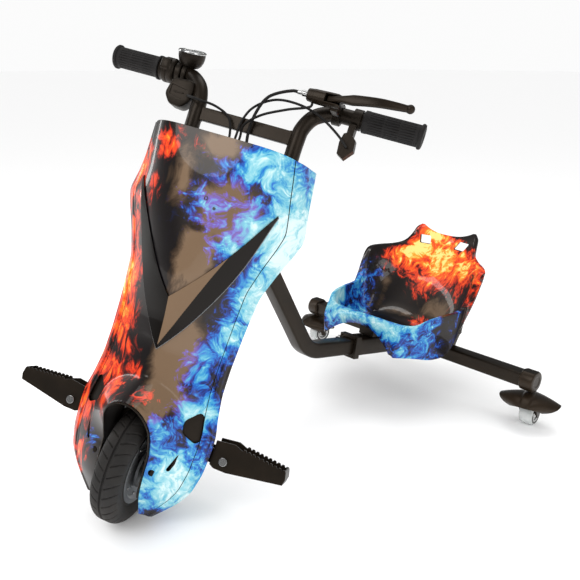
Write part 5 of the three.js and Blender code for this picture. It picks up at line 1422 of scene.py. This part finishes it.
def beam_path(end_y):
    """The beam's centre line as (x, y, z) points."""
    start = np.array((FOOT_Y + BEAM_JOIN * math.sin(rake), FOOT_Z + BEAM_JOIN * math.cos(rake)))
    upper = (start - BEND) / np.linalg.norm(start - BEND)
    lower = np.array((math.cos(LOWER_SLOPE), math.sin(LOWER_SLOPE)))
    turn = math.pi - math.acos(float(upper @ lower))
    tangent = BEND_RADIUS * math.tan(turn / 2)
    before, after = BEND + upper * tangent, BEND + lower * tangent
    end = BEND + lower * (end_y - BEND[0]) / math.cos(LOWER_SLOPE)
    t = np.linspace(0, 1, 24)[:, None]
    bend = (1 - t) ** 2 * before + 2 * t * (1 - t) * BEND + t ** 2 * after
    straight = np.linspace(start, before, 12)[:-1]
    tail = np.linspace(after, end, 16)[1:]
    flat = np.concatenate([straight, bend, tail])
    return np.stack([0 * flat[:, 0], flat[:, 0], flat[:, 1]], 1)


WELD_RIPPLE, WELD_PACE = 0.25, 1.9


def weld_bead(loop, width=3.4):
    """A rippled bead along a closed loop of points."""
    loop = smooth_path(loop, 1.2)
    waves = 1 + WELD_RIPPLE * np.sin(np.arange(len(loop)) * WELD_PACE)
    outline = round_outline(width / 2, 8)
    return sweep("bead", loop, outline, "black_paint", [(w, w) for w in waves])


def square_loop(centre, across, along, size):
    """A square loop of points round a centre, spanned by two directions."""
    centre, across, along = (np.array(v, float) for v in (centre, across, along))
    return [centre + across * a + along * b for a, b in rounded_square(size, 5, 4)]


def main_frame():
    """The bent beam, the head tube and the bead that joins them."""
    line = beam_path(BACK_AXLE - SLEEVE_LONG + BEAM_INSIDE)
    beam = sweep("beam", line, rounded_square(BEAM_SIZE, 4.5), "black_paint")
    beam.matrix_basis = LEVEL
    head_profile = [(HEAD_INNER, HEAD_LOW), (HEAD_OUTER, HEAD_LOW), (HEAD_OUTER, HEAD_HIGH),
                    (HEAD_INNER, HEAD_HIGH)]
    head = turned("head", head_profile, "black_paint", "z", 72)
    head.matrix_basis = RAKED
    way = line[1] - line[0]
    way /= np.linalg.norm(way)
    up = np.cross((1, 0, 0), way)
    joint = line[0] + way * (HEAD_OUTER - 1)
    bead = weld_bead(square_loop(joint, (1, 0, 0), up, BEAM_SIZE + 2))
    bead.matrix_basis = LEVEL
    piece = soften(joined("main_frame_welded", [beam, head, bead]), 0.8)
    return settle(piece, "frame", None, ["main_frame"])


whole_frame = main_frame()
print(whole_frame.name, len(whole_frame.data.polygons), "faces")

# %% [markdown]
# The rear tube is a square sleeve with the cross tube welded to its end. A moulded cap closes
# each end of the cross tube and holds the caster's stem.

# %% Rear frame
SLEEVE_SIZE, CROSS_SIZE, CROSS_HALF = 39, 30, 315
CAP_LONG, CAP_RADIUS, CAP_FILLED = 30, 22.5, 0.38
CASTER_X = CROSS_HALF - 11
STEM_RADIUS = 5.5


def rear_frame():
    """The sleeve, the cross tube and the bead that joins them."""
    long = SLEEVE_LONG / math.cos(LOWER_SLOPE)
    way = np.array((0, math.cos(LOWER_SLOPE), math.sin(LOWER_SLOPE)))
    end = np.array((0.0, BACK_AXLE, REAR_Z))
    sleeve = sweep("sleeve", np.linspace(end - way * long, end - way * 2, 12),
                   rounded_square(SLEEVE_SIZE, 5), "black_paint")
    room = sweep("room", np.linspace(end - way * (long + 10), end - way * (long - 90), 4),
                 rounded_square(BEAM_SIZE + 1.2, 4.5), "black_paint")
    cut_away(sleeve, [room])
    half = CROSS_HALF - CAP_LONG * (1 - CAP_FILLED) - 0.3
    cross = sweep("cross", np.linspace((-half, BACK_AXLE, REAR_Z), (half, BACK_AXLE, REAR_Z), 12),
                  rounded_square(CROSS_SIZE, 4), "black_paint", first_side=(0, 0, 1))
    front = end - way * (CROSS_SIZE / 2 / way[1] + 0.5)
    bead = weld_bead(square_loop(front, (1, 0, 0), (0, 0, 1), SLEEVE_SIZE + 1.5))
    piece = joined("rear_frame_welded", [sleeve, cross, bead])
    return settle(soften(piece, 0.8), "rear", LEVEL, ["rear_frame"])


def end_cap(hand, side):
    """A round cap with a socket for the tube and a bore for the stem."""
    profile = [(0.02, 0.9), (11, 0.9), (12.2, 0), (CAP_RADIUS - 3.4, 0), (CAP_RADIUS - 1, 0.9),
               (CAP_RADIUS, 3.4), (CAP_RADIUS, CAP_LONG - 2.9), (CAP_RADIUS - 2.9, CAP_LONG),
               (0.02, CAP_LONG)]
    cap = turned("end_cap_moulded_" + hand, profile, "cap_plastic", "x", 80)
    depth, hollow = CAP_LONG * CAP_FILLED, CROSS_SIZE / 2 + 0.3
    flat_z = CAP_RADIUS * 0.9
    stem = round_outline(STEM_RADIUS + 0.6, 32) + (CROSS_HALF - CASTER_X, 0)
    cut_away(cap, [
        brick("socket", (CAP_LONG - depth, -hollow, -hollow), (CAP_LONG + depth, hollow, hollow)),
        brick("flat", (-FAR, -FAR, flat_z), (FAR, FAR, FAR)),
        prism("bore", stem, -FAR, -CAP_RADIUS / 2, "z"),
    ])
    soften(cap, 0.8, 3)
    place = LEVEL @ moved(side * CROSS_HALF, BACK_AXLE, REAR_Z) @ half_turn(side > 0)
    return settle(cap, "rear", place, ["end_cap_" + hand])


HANDS = (("left", 1), ("right", -1))
rear_tubes = rear_frame()
for hand, side in HANDS:
    end_cap(hand, side)
print(rear_tubes.name, len(rear_tubes.data.polygons), "faces")

# %% [markdown]
# ## Casters
# Each caster carries a winged fender with a raised spine down its middle. Under it runs a clear
# wheel, tyred over a bright core with a black ring at each side.

# %% Casters
WHEEL_RADIUS, WHEEL_HALF, TRAIL = 25, 14, 14
FENDER_HALF, FENDER_FRONT, FENDER_BACK = 61, 44, 41
FENDER_TOP, FENDER_EDGE, FENDER_WALL = 76, 48, 2.5
FENDER_TURN = math.radians(8)


def fender_grid():
    """The fender's upper surface: t runs along the trike and s across it."""
    t = np.linspace(-0.94, 0.94, 61)[:, None]
    s = np.linspace(-1, 1, 81)[None, :]
    x = s * FENDER_HALF * np.maximum(0, 1 - np.abs(t) ** 3) ** 0.37
    y = np.where(t < 0, t * FENDER_FRONT, t * FENDER_BACK) * (1 - 0.42 * s * s)
    y = y + 0.2 * FENDER_HALF * s * s - 4
    fall = np.where(t < 0, 0.58, 0.3)
    drop = (FENDER_TOP - FENDER_EDGE) * (0.56 * s * s + fall * np.abs(t) ** 2.2)
    spine = 1 - smoothstep(np.abs(s), 0.13, 0.2)
    crest = (2.6 * spine + 1.4 * np.exp(-(s / 0.12) ** 2)) * (1 - t * t)
    z = FENDER_TOP - drop + crest - 4
    return np.stack([x + 0 * t, y, z], 2)


def mirrored(half_line):
    """A wheel's whole profile from its half at the negative end."""
    return half_line + [(r, -x) for r, x in half_line[::-1]]


def caster(hand, side):
    """The caster's fender, clear tyre, bright core and black rings."""
    body = "caster_" + hand
    place = Matrix.Translation((swivel[hand].x, swivel[hand].y, 0))
    place = place @ Matrix.Rotation(side * CASTER_YAW, 4, "Z")
    shell = skin("crown", fender_grid(), FENDER_WALL, "cap_plastic", "cap_plastic")
    shell.matrix_basis = Matrix.Rotation(side * FENDER_TURN, 4, "Z")
    bore, low, high = STEM_RADIUS + 0.3, 2 * WHEEL_RADIUS + 8.1, 67
    profile = [(bore, low), (11, low), (11, high), (bore, high)]
    hub = turned("hub", profile, "cap_plastic", "z", 48)
    fender = soften(joined("caster_fender_winged_" + hand, [shell, hub]), 0.6)
    settle(fender, body, place, ["caster_fender_" + hand])
    wheel_place = place @ Matrix.Translation((0, TRAIL * MM, WHEEL_RADIUS * MM))
    r, h = WHEEL_RADIUS, WHEEL_HALF
    bore = r * 0.68
    half_line = [(bore, -h), (r - 4, -h), (r - 2.4, -h + 0.5), (r - 1, -h + 1.8),
                 (r - 0.2, -h * 0.6), (r, -h * 0.3)]
    tread = turned("caster_tyre_clear_" + hand, mirrored(half_line), "clear_wheel", "x", 96)
    settle(tread, "caster_wheel_" + hand, wheel_place, ["caster_tyre_" + hand])
    r = bore - 0.3
    half_line = [(3.05, -h + 1), (r * 0.42, -h + 1), (r * 0.5, -h + 3), (r * 0.62, -h + 3.4),
                 (r * 0.8, -h + 2), (r * 0.86, -h + 0.6), (r, -h + 0.3)]
    core = turned("caster_core_bright_" + hand, mirrored(half_line), "bright_steel", "x", 96)
    settle(core, "caster_wheel_" + hand, wheel_place, ["caster_core_" + hand])
    rings = []
    for way in (-1, 1):
        ring = [(r + 0.6, way * (h - 0.4)), (r + 0.9, way * (h + 0.4)), (r + 3.8, way * (h + 0.5)),
                (r + 4.4, way * (h - 0.2)), (r + 4.0, way * (h - 0.8))]
        rings.append(turned("ring", ring, "black_plastic", "x", 72))
    seals = joined("caster_seals_" + hand, rings)
    settle(seals, "caster_wheel_" + hand, wheel_place)
    return fender


for hand, side in HANDS:
    fender = caster(hand, side)
print(fender.name, len(fender.data.polygons), "faces")

# %% [markdown]
# ## Handlebar and grips
# Two tubes rise from the yoke, pass the ends of the flat cross bar and bend out into the grips.
# The grips have fine ribs along their length between plain bands.

# %% Handlebar
BAR_RADIUS = 12.5
CROSS_W, GRIP_W, GRIP_V = YOKE_W + 48, YOKE_W + 110, UPRIGHT_V + 26
GRIP_INNER, GRIP_LONG, GRIP_RADIUS, FLANGE_RADIUS = 186, 87, 17.5, 20
STEERER_RADIUS = 15


def bar_path(side):
    """The centre line of one side of the bar, from the yoke to the grip's end."""
    bend = [(UPRIGHT_X, UPRIGHT_V + 2, YOKE_W - 4), (UPRIGHT_X, UPRIGHT_V, CROSS_W),
            (UPRIGHT_X + 1, UPRIGHT_V + 2, CROSS_W + 18),
            (UPRIGHT_X + 11, UPRIGHT_V + 9, CROSS_W + 42),
            (UPRIGHT_X + 30, UPRIGHT_V + 19, GRIP_W - 5), (GRIP_INNER - 54, GRIP_V, GRIP_W)]
    curve = smooth_path(bend, 2.5)
    straight = np.linspace(curve[-1], (GRIP_INNER + GRIP_LONG - 6, GRIP_V, GRIP_W), 24)[1:]
    return np.vstack([curve, straight]) * (side, 1, 1)


def handlebar():
    """Both uprights, the flat cross bar, the yoke and their weld beads."""
    tube = round_outline(BAR_RADIUS, 40)
    parts = [sweep("bar", bar_path(side), tube, "black_paint") for side in (1, -1)]
    parts.append(brick("bridge", (-UPRIGHT_X, UPRIGHT_V - 5.5, CROSS_W - 11),
                       (UPRIGHT_X, UPRIGHT_V + 3.5, CROSS_W + 11), "black_paint"))
    front, back, arm = UPRIGHT_V - 14, STEERER_RADIUS + 4, UPRIGHT_X + BAR_RADIUS + 1
    inner, step = UPRIGHT_X - 18, UPRIGHT_V + 14
    outline = [(-arm, front), (-inner, front), (-inner, step), (inner, step), (inner, front),
               (arm, front), (arm, back), (-arm, back)]
    yoke = prism("yoke", round_corners(outline, 5), YOKE_W - 4.5, YOKE_W + 4.5, "z", "black_paint")
    radius, low, high = STEERER_RADIUS + 6, YOKE_W - 6.5, YOKE_W + 8.5
    profile = [(0.02, low), (radius, low), (radius, high), (0.02, high)]
    hub = turned("hub", profile, "black_paint", "z", 56)
    steerer = round_outline(STEERER_RADIUS + 0.3, 56)
    socket = prism("socket", steerer, YOKE_W - FAR, YOKE_W + 0.3, "z")
    parts.append(cut_away(joined("yoke", [yoke, hub]), [socket]))
    radius = BAR_RADIUS + 0.6
    for side in (1, -1):
        ring = [(side * UPRIGHT_X + radius * math.cos(a), UPRIGHT_V + radius * math.sin(a),
                 YOKE_W + 5.2) for a in np.linspace(0, 2 * math.pi, 24)]
        parts.append(weld_bead(ring, 2.6))
        x = side * (UPRIGHT_X - BAR_RADIUS - 0.4)
        for away in (-11, 11):
            inside = [(x, UPRIGHT_V - 1 + a, CROSS_W + away * 0.96)
                      for a in np.linspace(-4.5, 4.5, 8)]
            parts.append(sweep("bead", inside, round_outline(1.5, 8), "black_paint"))
    piece = joined("handlebar_welded", parts)
    return settle(soften(piece, 1.0), "steering", STEERED, ["handlebar"])


bar = handlebar()
print(bar.name, len(bar.data.polygons), "faces")

# %% [markdown]
# A grip is a turned form too. Its stations are given as place, radius and whether there are ribs,
# and the ribs are cut into the radius as fine grooves.

# %% Grips
RIBS, RIB_DEEP = 26, 1.1


def grip(name, node, body, side, inward):
    """A grip with ribs. It reaches inward over the bar with a plain sleeve, or ends in a flange."""
    if inward:
        stations = [(-inward, GRIP_RADIUS - 0.8, 0), (1 - inward, GRIP_RADIUS + 0.4, 0),
                    (-2.4, GRIP_RADIUS + 0.4, 0), (-1.6, GRIP_RADIUS, 0), (0, GRIP_RADIUS, 0)]
    else:
        stations = [(0, FLANGE_RADIUS - 0.8, 0), (0.8, FLANGE_RADIUS, 0), (3.4, FLANGE_RADIUS, 0),
                    (4.4, FLANGE_RADIUS - 0.8, 0), (5.4, GRIP_RADIUS, 0), (8.4, GRIP_RADIUS, 0)]
    first = stations[-1][0] + 0.6
    pitch = (GRIP_LONG - 11 - first) / 3
    for n in range(3):
        start = first + n * pitch
        stations += [(start + 0.6, GRIP_RADIUS, 1), (start + pitch * 0.55, GRIP_RADIUS, 1),
                     (start + pitch * 0.9, GRIP_RADIUS, 1), (start + pitch * 0.93, GRIP_RADIUS, 0),
                     (start + pitch - 0.6, GRIP_RADIUS, 0)]
    end = GRIP_LONG
    stations += [(end - 7, GRIP_RADIUS, 0), (end - 6, FLANGE_RADIUS - 0.6, 0),
                 (end - 5, FLANGE_RADIUS, 0), (end - 2.4, FLANGE_RADIUS, 0),
                 (end - 0.6, FLANGE_RADIUS - 1.4, 0), (end, FLANGE_RADIUS - 4, 0), (end, 6, 0),
                 (end - 1, 4.5, 0), (end - 1, 0.02, 0)]
    stations = np.array([(-inward, BAR_RADIUS + 0.3, 0)] + stations, float)
    x, radius, ribbed = (stations[:, k, None] for k in range(3))
    steps = RIBS * 8
    angles = np.linspace(0, 2 * math.pi, steps, endpoint=False)[None, :]
    groove = np.clip(np.cos(angles * RIBS) * 1.6 - 0.5, 0, 1)
    r = radius - ribbed * groove * RIB_DEEP
    points = np.stack([x + 0 * angles, r * np.cos(angles), r * np.sin(angles)], 2)
    faces = grid_faces(len(stations), steps, wrap_columns=True)
    piece = piece_of(name, points.reshape(-1, 3), faces, "black_rubber", 40)
    place = STEERED @ moved(side * GRIP_INNER, GRIP_V, GRIP_W) @ half_turn(side < 0)
    return settle(piece, body, place, [node])


grip("grip_left_ribbed", "grip_left", "steering", 1, 10)
throttle_piece = grip("throttle_grip_ribbed", "throttle_grip", "throttle", -1, 0)
print(throttle_piece.name, len(throttle_piece.data.polygons), "faces")

# %% [markdown]
# The brake lever is a bent blade with a ball at its end. The blade is cut as a thin plate, and
# then its thickness is stretched from station to station.

# %% Brake lever
LEVER_X, LEVER_V, LEVER_W = GRIP_INNER - 58, GRIP_V - 50, GRIP_W + 6
LEVER_TILT = 0.14
BALL_RADIUS = 7
CABLE_RADIUS = 2.5
BLADE_PLACES, BLADE_HALVES = (0, 14, 34, 80, 117), (4.5, 4.5, 7.6, 6.6, 5.0)


def brake_lever():
    """The blade with its ball and its pin."""
    upper = [(-7, -6), (8, -11), (40, -16), (74, -16), (100, -9), (117, -2)]
    lower = [(117, 6), (98, 0), (74, -7), (44, -7), (14, -1), (6, 6), (-6, 6)]
    outline = np.vstack([smooth_path(upper, 3), smooth_path(lower, 3)])
    blade = prism("blade", outline, -1, 1, "z", "black_paint")
    for vertex in blade.data.vertices:
        vertex.co.z *= np.interp(vertex.co.x / MM, BLADE_PLACES, BLADE_HALVES)
    soften(blade, 2.4, 4)
    tilt = Matrix.Rotation(-LEVER_TILT, 4, "Y")
    blade.matrix_basis = tilt
    profile = [(max(0.02, BALL_RADIUS * math.cos(a)), BALL_RADIUS * math.sin(a))
               for a in np.linspace(-math.pi / 2, math.pi / 2, 15)]
    ball = turned("ball", profile, "black_paint", "z", 40)
    ball.matrix_basis = tilt @ moved(119, 2, 0)
    profile = [(0.02, -10.5), (2.4, -10.5), (3, -10), (3, 10), (2.4, 10.5), (0.02, 10.5)]
    pin = turned("pin", profile, "black_paint", "z", 32)
    piece = joined("brake_lever_blade", [baked(blade), ball, pin])
    place = STEERED @ moved(LEVER_X, LEVER_V, LEVER_W)
    return settle(piece, "brake_lever", place, ["brake_lever"])


lever = brake_lever()
print(lever.name, len(lever.data.polygons), "faces")

# %% [markdown]
# The gauge has a domed clear lens in a bright bezel. Under the lens lies a plain dial with fine
# marks, and every fifth mark is longer.

# %% Gauge
GAUGE_RADIUS = 22.8
GAUGE_TILT = Matrix.Rotation(0.4, 4, "X")
GAUGE_SEAT = moved(49 - GRIP_INNER, GRIP_V - 5, GRIP_W + 30) @ GAUGE_TILT
GAUGE_PLACE = STEERED @ GAUGE_SEAT
GAUGE_MARKS = 21


def gauge():
    """The lens, the bezel and the dial with its marks."""
    r = GAUGE_RADIUS - 3.3
    dome = [(0.02, 3.2), (r, 3.2), (r, 6)]
    dome += [(r - 4 * (1 - math.cos(a)), 6 + 2 * math.sin(a)) for a in np.linspace(0.2, 1.5, 6)]
    dome += [(r * k, 8 + 0.9 * (1 - k * k / 0.7)) for k in (0.7, 0.5, 0.3, 0.1)] + [(0.02, 8.95)]
    lens = turned("gauge_lens_domed", dome, "lens_clear", "z", 96)
    settle(lens, "steering", GAUGE_PLACE, ["gauge_lens"])
    rim = GAUGE_RADIUS + 1
    profile = [(rim - 3.4, 6.3), (rim - 0.5, 6.3), (rim, 6.8), (rim, 8), (rim - 0.5, 9.0),
               (rim - 1.5, 9.6), (rim - 2.7, 9.6), (rim - 3.5, 9.0)]
    bezel = turned("gauge_bezel_rolled", profile, "bright_steel", "z", 96)
    settle(bezel, "steering", GAUGE_PLACE, ["gauge_bezel"])
    profile = [(0.02, 1.4), (r, 1.4), (r, 2.2), (0.02, 2.2)]
    dial = turned("gauge_dial", profile, "motor_silver", "z", 72)
    settle(dial, "steering", GAUGE_PLACE)
    ticks = []
    far, half = r - 3, 0.35
    for n in range(GAUGE_MARKS):
        near = far - (3.4 if n % 5 == 0 else 2.0)
        outline = [(near, -half), (far, -half), (far, half), (near, half)]
        tick = prism("tick", outline, 2.2, 2.45, "z", "black_plastic")
        tick.matrix_basis = Matrix.Rotation(math.radians(-210 + n * 12), 4, "Z")
        ticks.append(tick)
    settle(joined("gauge_marks", ticks), "steering", GAUGE_PLACE)
    return bezel


print(gauge().name, "and its lens")

# %% [markdown]
# The housings on the bar are soft mouldings. Each one is built from a few rounded bodies and a
# ring round the bar, and then the room for the bar is cut out of them.

# %% Housings on the bar
CONTROL = (59 - GRIP_INNER, GRIP_V - 20, GRIP_W - 37)
CONTROL_HALF, BUTTON_ROOM = 14, 5.3


def bar_room(side):
    """The cutter for one side of the bar."""
    return sweep("room", bar_path(side), round_outline(BAR_RADIUS + 0.3, 40), "black_paint")


def bar_ring(x, long, outer, finish="black_plastic"):
    """A clamp ring round the bar, centred at x."""
    half, inner = long / 2, BAR_RADIUS - 1
    profile = [(inner, -half), (outer - 1.2, -half), (outer, 1.2 - half),
               (outer, half - 1.2), (outer - 1.2, half), (inner, half)]
    ring = turned("ring", profile, finish, "x", 64)
    ring.matrix_basis = moved(x, GRIP_V, GRIP_W)
    return ring


def rounded_brick(name, low, high, radius, finish="black_plastic"):
    """A box between two corners, with every edge well rounded."""
    return baked(soften(brick(name, low, high, finish), radius, 5))


def throttle_housing():
    """A stepped round body with a boss in front."""
    x = 14.6 - GRIP_INNER
    profile = [(11, -14), (16.5, -14), (18, -12.6), (18.6, -8.4), (20.2, -6.6), (21, -5),
               (21, 1.4), (20.3, 1.9), (20.3, 3.1), (21, 3.6), (21, 10), (20, 13), (18.2, 15),
               (11, 15)]
    body = turned("body", profile, "black_plastic", "x", 80)
    body.matrix_basis = moved(x, GRIP_V, GRIP_W)
    boss = rounded_brick("boss", (x - 10, GRIP_V - 23, GRIP_W - 6),
                         (x + 9, GRIP_V - 5, GRIP_W + 15), 5)
    piece = cut_away(joined("throttle_housing_moulded", [body, boss]), [bar_room(-1)], True)
    return settle(soften(piece, 0.4), "steering", STEERED, ["throttle_housing"])


def gauge_bowl():
    """The bowl under the gauge and its clamp ring."""
    r = GAUGE_RADIUS
    profile = [(0.02, -19), (8, -19), (13.5, -17.4), (18, -13.4), (r - 1.6, -7),
               (r - 0.3, -1.4), (r, 1), (r, 6), (r - 3, 6), (r - 3, 1), (0.02, 1)]
    bowl = turned("bowl", profile, "black_plastic", "z", 96)
    bowl.matrix_basis = GAUGE_SEAT
    ring = bar_ring(36 - GRIP_INNER, 10, BAR_RADIUS + 5)
    piece = cut_away(joined("gauge_bowl_moulded", [bowl, ring]), [bar_room(-1)], True)
    return settle(soften(piece, 0.4), "steering", STEERED, ["gauge_bowl"])


def control_box():
    """The box under the bar, with its panel and the well for a button."""
    x, v, w = CONTROL
    front, clamp_x = v - CONTROL_HALF, 47 - GRIP_INNER
    corners = [(-17, 20), (20, 22), (24, 8), (22, -14), (10, -26), (-12, -24), (-24, -8)]
    outline = round_corners([(x + a, w + b) for a, b in corners], 6.5, 7)
    body = baked(soften(prism("body", outline, front, v + CONTROL_HALF), 3.6, 5))
    neck = rounded_brick("neck", (clamp_x - 4, GRIP_V - 12, w + 12),
                         (clamp_x + 4, GRIP_V + 6, GRIP_W - 10), 1.5)
    panel = [(x + a, w + b) for a, b in ((-15, 9), (14, 4), (14, -13), (-15, -8))]
    cutters = [
        prism("panel", round_corners(panel, 3), -FAR, front + 1.4),
        prism("well", round_outline(BUTTON_ROOM, 40) + (x, w), v + 9.5, FAR),
        bar_room(-1),
    ]
    ring = bar_ring(clamp_x, 8, BAR_RADIUS + 4)
    body = cut_away(joined("box", [body, neck, ring]), cutters, True)
    rail = rounded_brick("rail", (x - 9, front + 0.4, w - 3.4), (x + 9, front + 2, w - 0.8), 0.6)
    piece = soften(joined("control_box_moulded", [body, rail]), 0.4)
    return settle(piece, "steering", STEERED, ["control_box"])


def lever_bracket():
    """The lever's bracket: a swelling body, an arm and a clamp ring."""
    # place along the bar, centre, half width, half height
    stations = np.array([(-40, 2, 7.6, 8.2), (-38.4, 2, 8.8, 9.4), (-28, 2.4, 11.4, 10.6),
                         (-6, 2, 12.8, 11), (9, 1, 12.4, 11), (13.5, 1, 10.6, 9.8),
                         (14.6, 1, 9.4, 8.6)])
    places = np.interp(np.linspace(0, 6, 49), range(7), stations[:, 0])
    centre, wide, high = (np.interp(places, stations[:, 0], stations[:, k]) for k in (1, 2, 3))
    route = np.stack([LEVER_X + places, LEVER_V + centre, LEVER_W + 0 * places], 1)
    outline = rounded_square(2, 0.8, 8)
    body = sweep("body", route, outline, "black_paint", list(zip(wide, high)), (0, 1, 0))
    arm = rounded_brick("arm", (LEVER_X - 2, LEVER_V + 4, GRIP_W - 8),
                        (LEVER_X + 12, GRIP_V - 9, LEVER_W + 9), 3, "black_paint")
    ring = bar_ring(LEVER_X + 5, 14, BAR_RADIUS + 5, "black_paint")
    solid = joined("lever_bracket_moulded", [body, arm, ring])
    pivot = round_outline(3.3, 32) + (LEVER_X, LEVER_V)
    tunnel = round_outline(CABLE_RADIUS + 1.5, 32) + (LEVER_V + 2, LEVER_W)
    piece = cut_away(solid, [
        brick("slot", (LEVER_X - 10, -FAR, LEVER_W - 6.5),
              (LEVER_X + 60, LEVER_V + 8, LEVER_W + 6.5)),
        prism("pivot", pivot, GRIP_W - 40, GRIP_W + 60, "z"),
        prism("tunnel", tunnel, LEVER_X - 70, LEVER_X - 10, "x"),
        bar_room(1),
    ], True)
    return settle(soften(piece, 0.5), "steering", STEERED, ["lever_bracket"])


housings = [throttle_housing(), gauge_bowl(), control_box(), lever_bracket()]
print(", ".join(f"{piece.name} {len(piece.data.polygons)}" for piece in housings), "faces")

# %% [markdown]
# ## Cables
# Every cable is held at both ends by parts that turn together, so its route is fixed. Each one
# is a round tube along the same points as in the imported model.

# %% Cables
CABLE_V = UPRIGHT_V - 12
CONTROLLER_TOP = YOKE_W - 39
BATTERY_HALF, BATTERY_LOW, CONTROLLER_HALF = 50, YOKE_W - 286, 45
WIRE_X, WIRE_V = 26.8, -46
WIRE_RADIUS = 2.0
LEVER_END = LEVER_X - 40 - 0.9 - 16  # the bracket's end, a gap and the adjuster
BRAKE_ARM_W = HUB_W + 34 * 1.35 + 0.3


def into_fairing(start, x):
    """A route that goes on from its start down into the fairing, to the controller's top."""
    return start + [(x, CABLE_V, CROSS_W - 21), (x, CABLE_V + 2, YOKE_W - 1),
                    (x, CABLE_V + 4, CONTROLLER_TOP + 0.6)]


SWITCH = (GRIP_INNER - 20, GRIP_V - 14, GRIP_W - 51)
lever_low = LEVER_W - 10.1
switch_front, control_front = SWITCH[1] - 8.6, CONTROL[1] - 14.6
control_x = CONTROL[0] + 20
beside, axle_end = BATTERY_HALF + 14, 47.6
ROUTES = {
    "brake_cable": (CABLE_RADIUS, [
        (LEVER_END, LEVER_V + 2, LEVER_W), (LEVER_END - 6, LEVER_V + 2, LEVER_W),
        (25, CABLE_V, GRIP_W - 11), (13, CABLE_V, CROSS_W + 19), (13, CABLE_V, CROSS_W - 19),
        (24, CABLE_V + 2, YOKE_W - 4), (BATTERY_HALF + 6, CABLE_V + 7, YOKE_W - 25),
        (BATTERY_HALF + 13, CABLE_V + 8, CONTROLLER_TOP - 32),
        (BATTERY_HALF + 12, CABLE_V + 8, BATTERY_LOW + 25),
        (BATTERY_HALF + 8, CABLE_V + 10, BATTERY_LOW - 50),
        (WIRE_X + 8, WIRE_V, CROWN_TOP + 21), (WIRE_X, WIRE_V, CROWN_TOP + 6),
        (WIRE_X, WIRE_V, CROWN_TOP + 0.3)]),
    "lever_wire": (WIRE_RADIUS, into_fairing([
        (LEVER_X - 30, LEVER_V + 6, lever_low), (LEVER_X - 30, LEVER_V + 6, lever_low - 5),
        (62, CABLE_V - 8, GRIP_W - 25), (24, CABLE_V - 9, CROSS_W + 17),
        (3, CABLE_V - 7, CROSS_W - 4)], 1)),
    "switch_cable": (WIRE_RADIUS, into_fairing([
        (SWITCH[0], switch_front, SWITCH[2]), (SWITCH[0], switch_front - 5, SWITCH[2]),
        (SWITCH[0] - 14, CABLE_V + 4, SWITCH[2] + 11), (110, CABLE_V + 4, GRIP_W - 17),
        (70, CABLE_V + 6, GRIP_W - 8), (33, CABLE_V + 8, GRIP_W - 11),
        (4, CABLE_V + 8, CROSS_W + 31), (-5, CABLE_V + 3, CROSS_W + 7)], -6)),
    "control_cable": (WIRE_RADIUS, into_fairing([
        (control_x, control_front, CONTROL[2] - 5), (control_x, control_front - 4, CONTROL[2] - 5),
        (control_x + 9, CABLE_V - 8, CONTROL[2] - 7), (-80, CABLE_V - 10, CONTROL[2] - 9),
        (-52, CABLE_V - 6, CROSS_W + 14), (-27, CABLE_V - 2, CROSS_W + 3)], -17)),
    "motor_cable": (CABLE_RADIUS, [
        (-axle_end, HUB_V, HUB_W), (-axle_end - 5, HUB_V, HUB_W),
        (-axle_end - 9, HUB_V - 6, HUB_W + 9),
        (-axle_end - 4, HUB_V - 18, HUB_W + 32), (-axle_end, HUB_V - 20, 40),
        (-axle_end - 4, HUB_V - 10, CROWN_TOP - 4), (-beside, CABLE_V + 8, BATTERY_LOW - 45),
        (-beside, CABLE_V + 10, BATTERY_LOW + 85), (2 - beside, CABLE_V + 10, CONTROLLER_TOP - 38),
        (-CONTROLLER_HALF - 8, CABLE_V + 10, CONTROLLER_TOP - 20),
        (-CONTROLLER_HALF - 1, CABLE_V + 10, CONTROLLER_TOP - 20)]),
}
for cable_name, (radius, route) in ROUTES.items():
    path = smooth_path(route, 2.5)
    cable = sweep(cable_name + "_tube", path, round_outline(radius, 16), "black_rubber")
    if cable_name == "brake_cable":
        line = [(WIRE_X, WIRE_V, w) for w in (BRAKE_ARM_W, 70, CROWN_TOP + 8)]
        wire = sweep("wire", line, round_outline(0.9, 12), "black_rubber")
        cable = joined(cable_name + "_tube", [cable, wire])
    settle(cable, "steering", STEERED, [cable_name])
    print(cable_name, round(float(np.linalg.norm(np.diff(path, axis=0), axis=1).sum())), "mm")

# %% [markdown]
# ## The remaining pieces
# Brackets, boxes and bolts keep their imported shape. Their doubled points are welded, flat parts
# are joined to whole faces, and the edges are rounded, so that each edge catches the light.

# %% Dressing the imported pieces
# edges in millimetres for the larger pieces, and for all the others
EDGE = {"fork": 1.5, "switch_box": 3.0, "battery": 4.0, "controller": 1.5, "clamp_collar": 1.0,
        "foot_peg_left": 0.7, "foot_peg_right": 0.7}
PLAIN_EDGE = 0.6
slot_of = {entry["node"]: entry["material_slot"] for entry in frame["record"]["subparts"]}


def dress(name, piece):
    """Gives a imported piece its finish, whole faces and rounded edges."""
    finish = FINISH[slot_of[name]]
    for holder in piece.material_slots:
        holder.material = finish
    piece.data.shade_smooth()
    weld = piece.modifiers.new("weld", "WELD")
    weld.merge_threshold = 1e-5
    flat = piece.modifiers.new("flat faces", "DECIMATE")
    flat.decimate_type = "DISSOLVE"
    flat.angle_limit = math.radians(1.0)
    soften(piece, EDGE.get(name, PLAIN_EDGE), 3 if name in EDGE else 2, 38, clamped=True)
    normals = piece.modifiers.new("even shading", "WEIGHTED_NORMAL")
    normals.keep_sharp = True


dressed = [name for name, piece in nodes.items() if not piece.hide_render]
for name in dressed:
    dress(name, nodes[name])
print(len(dressed), "packed pieces dressed:", ", ".join(sorted(dressed)))
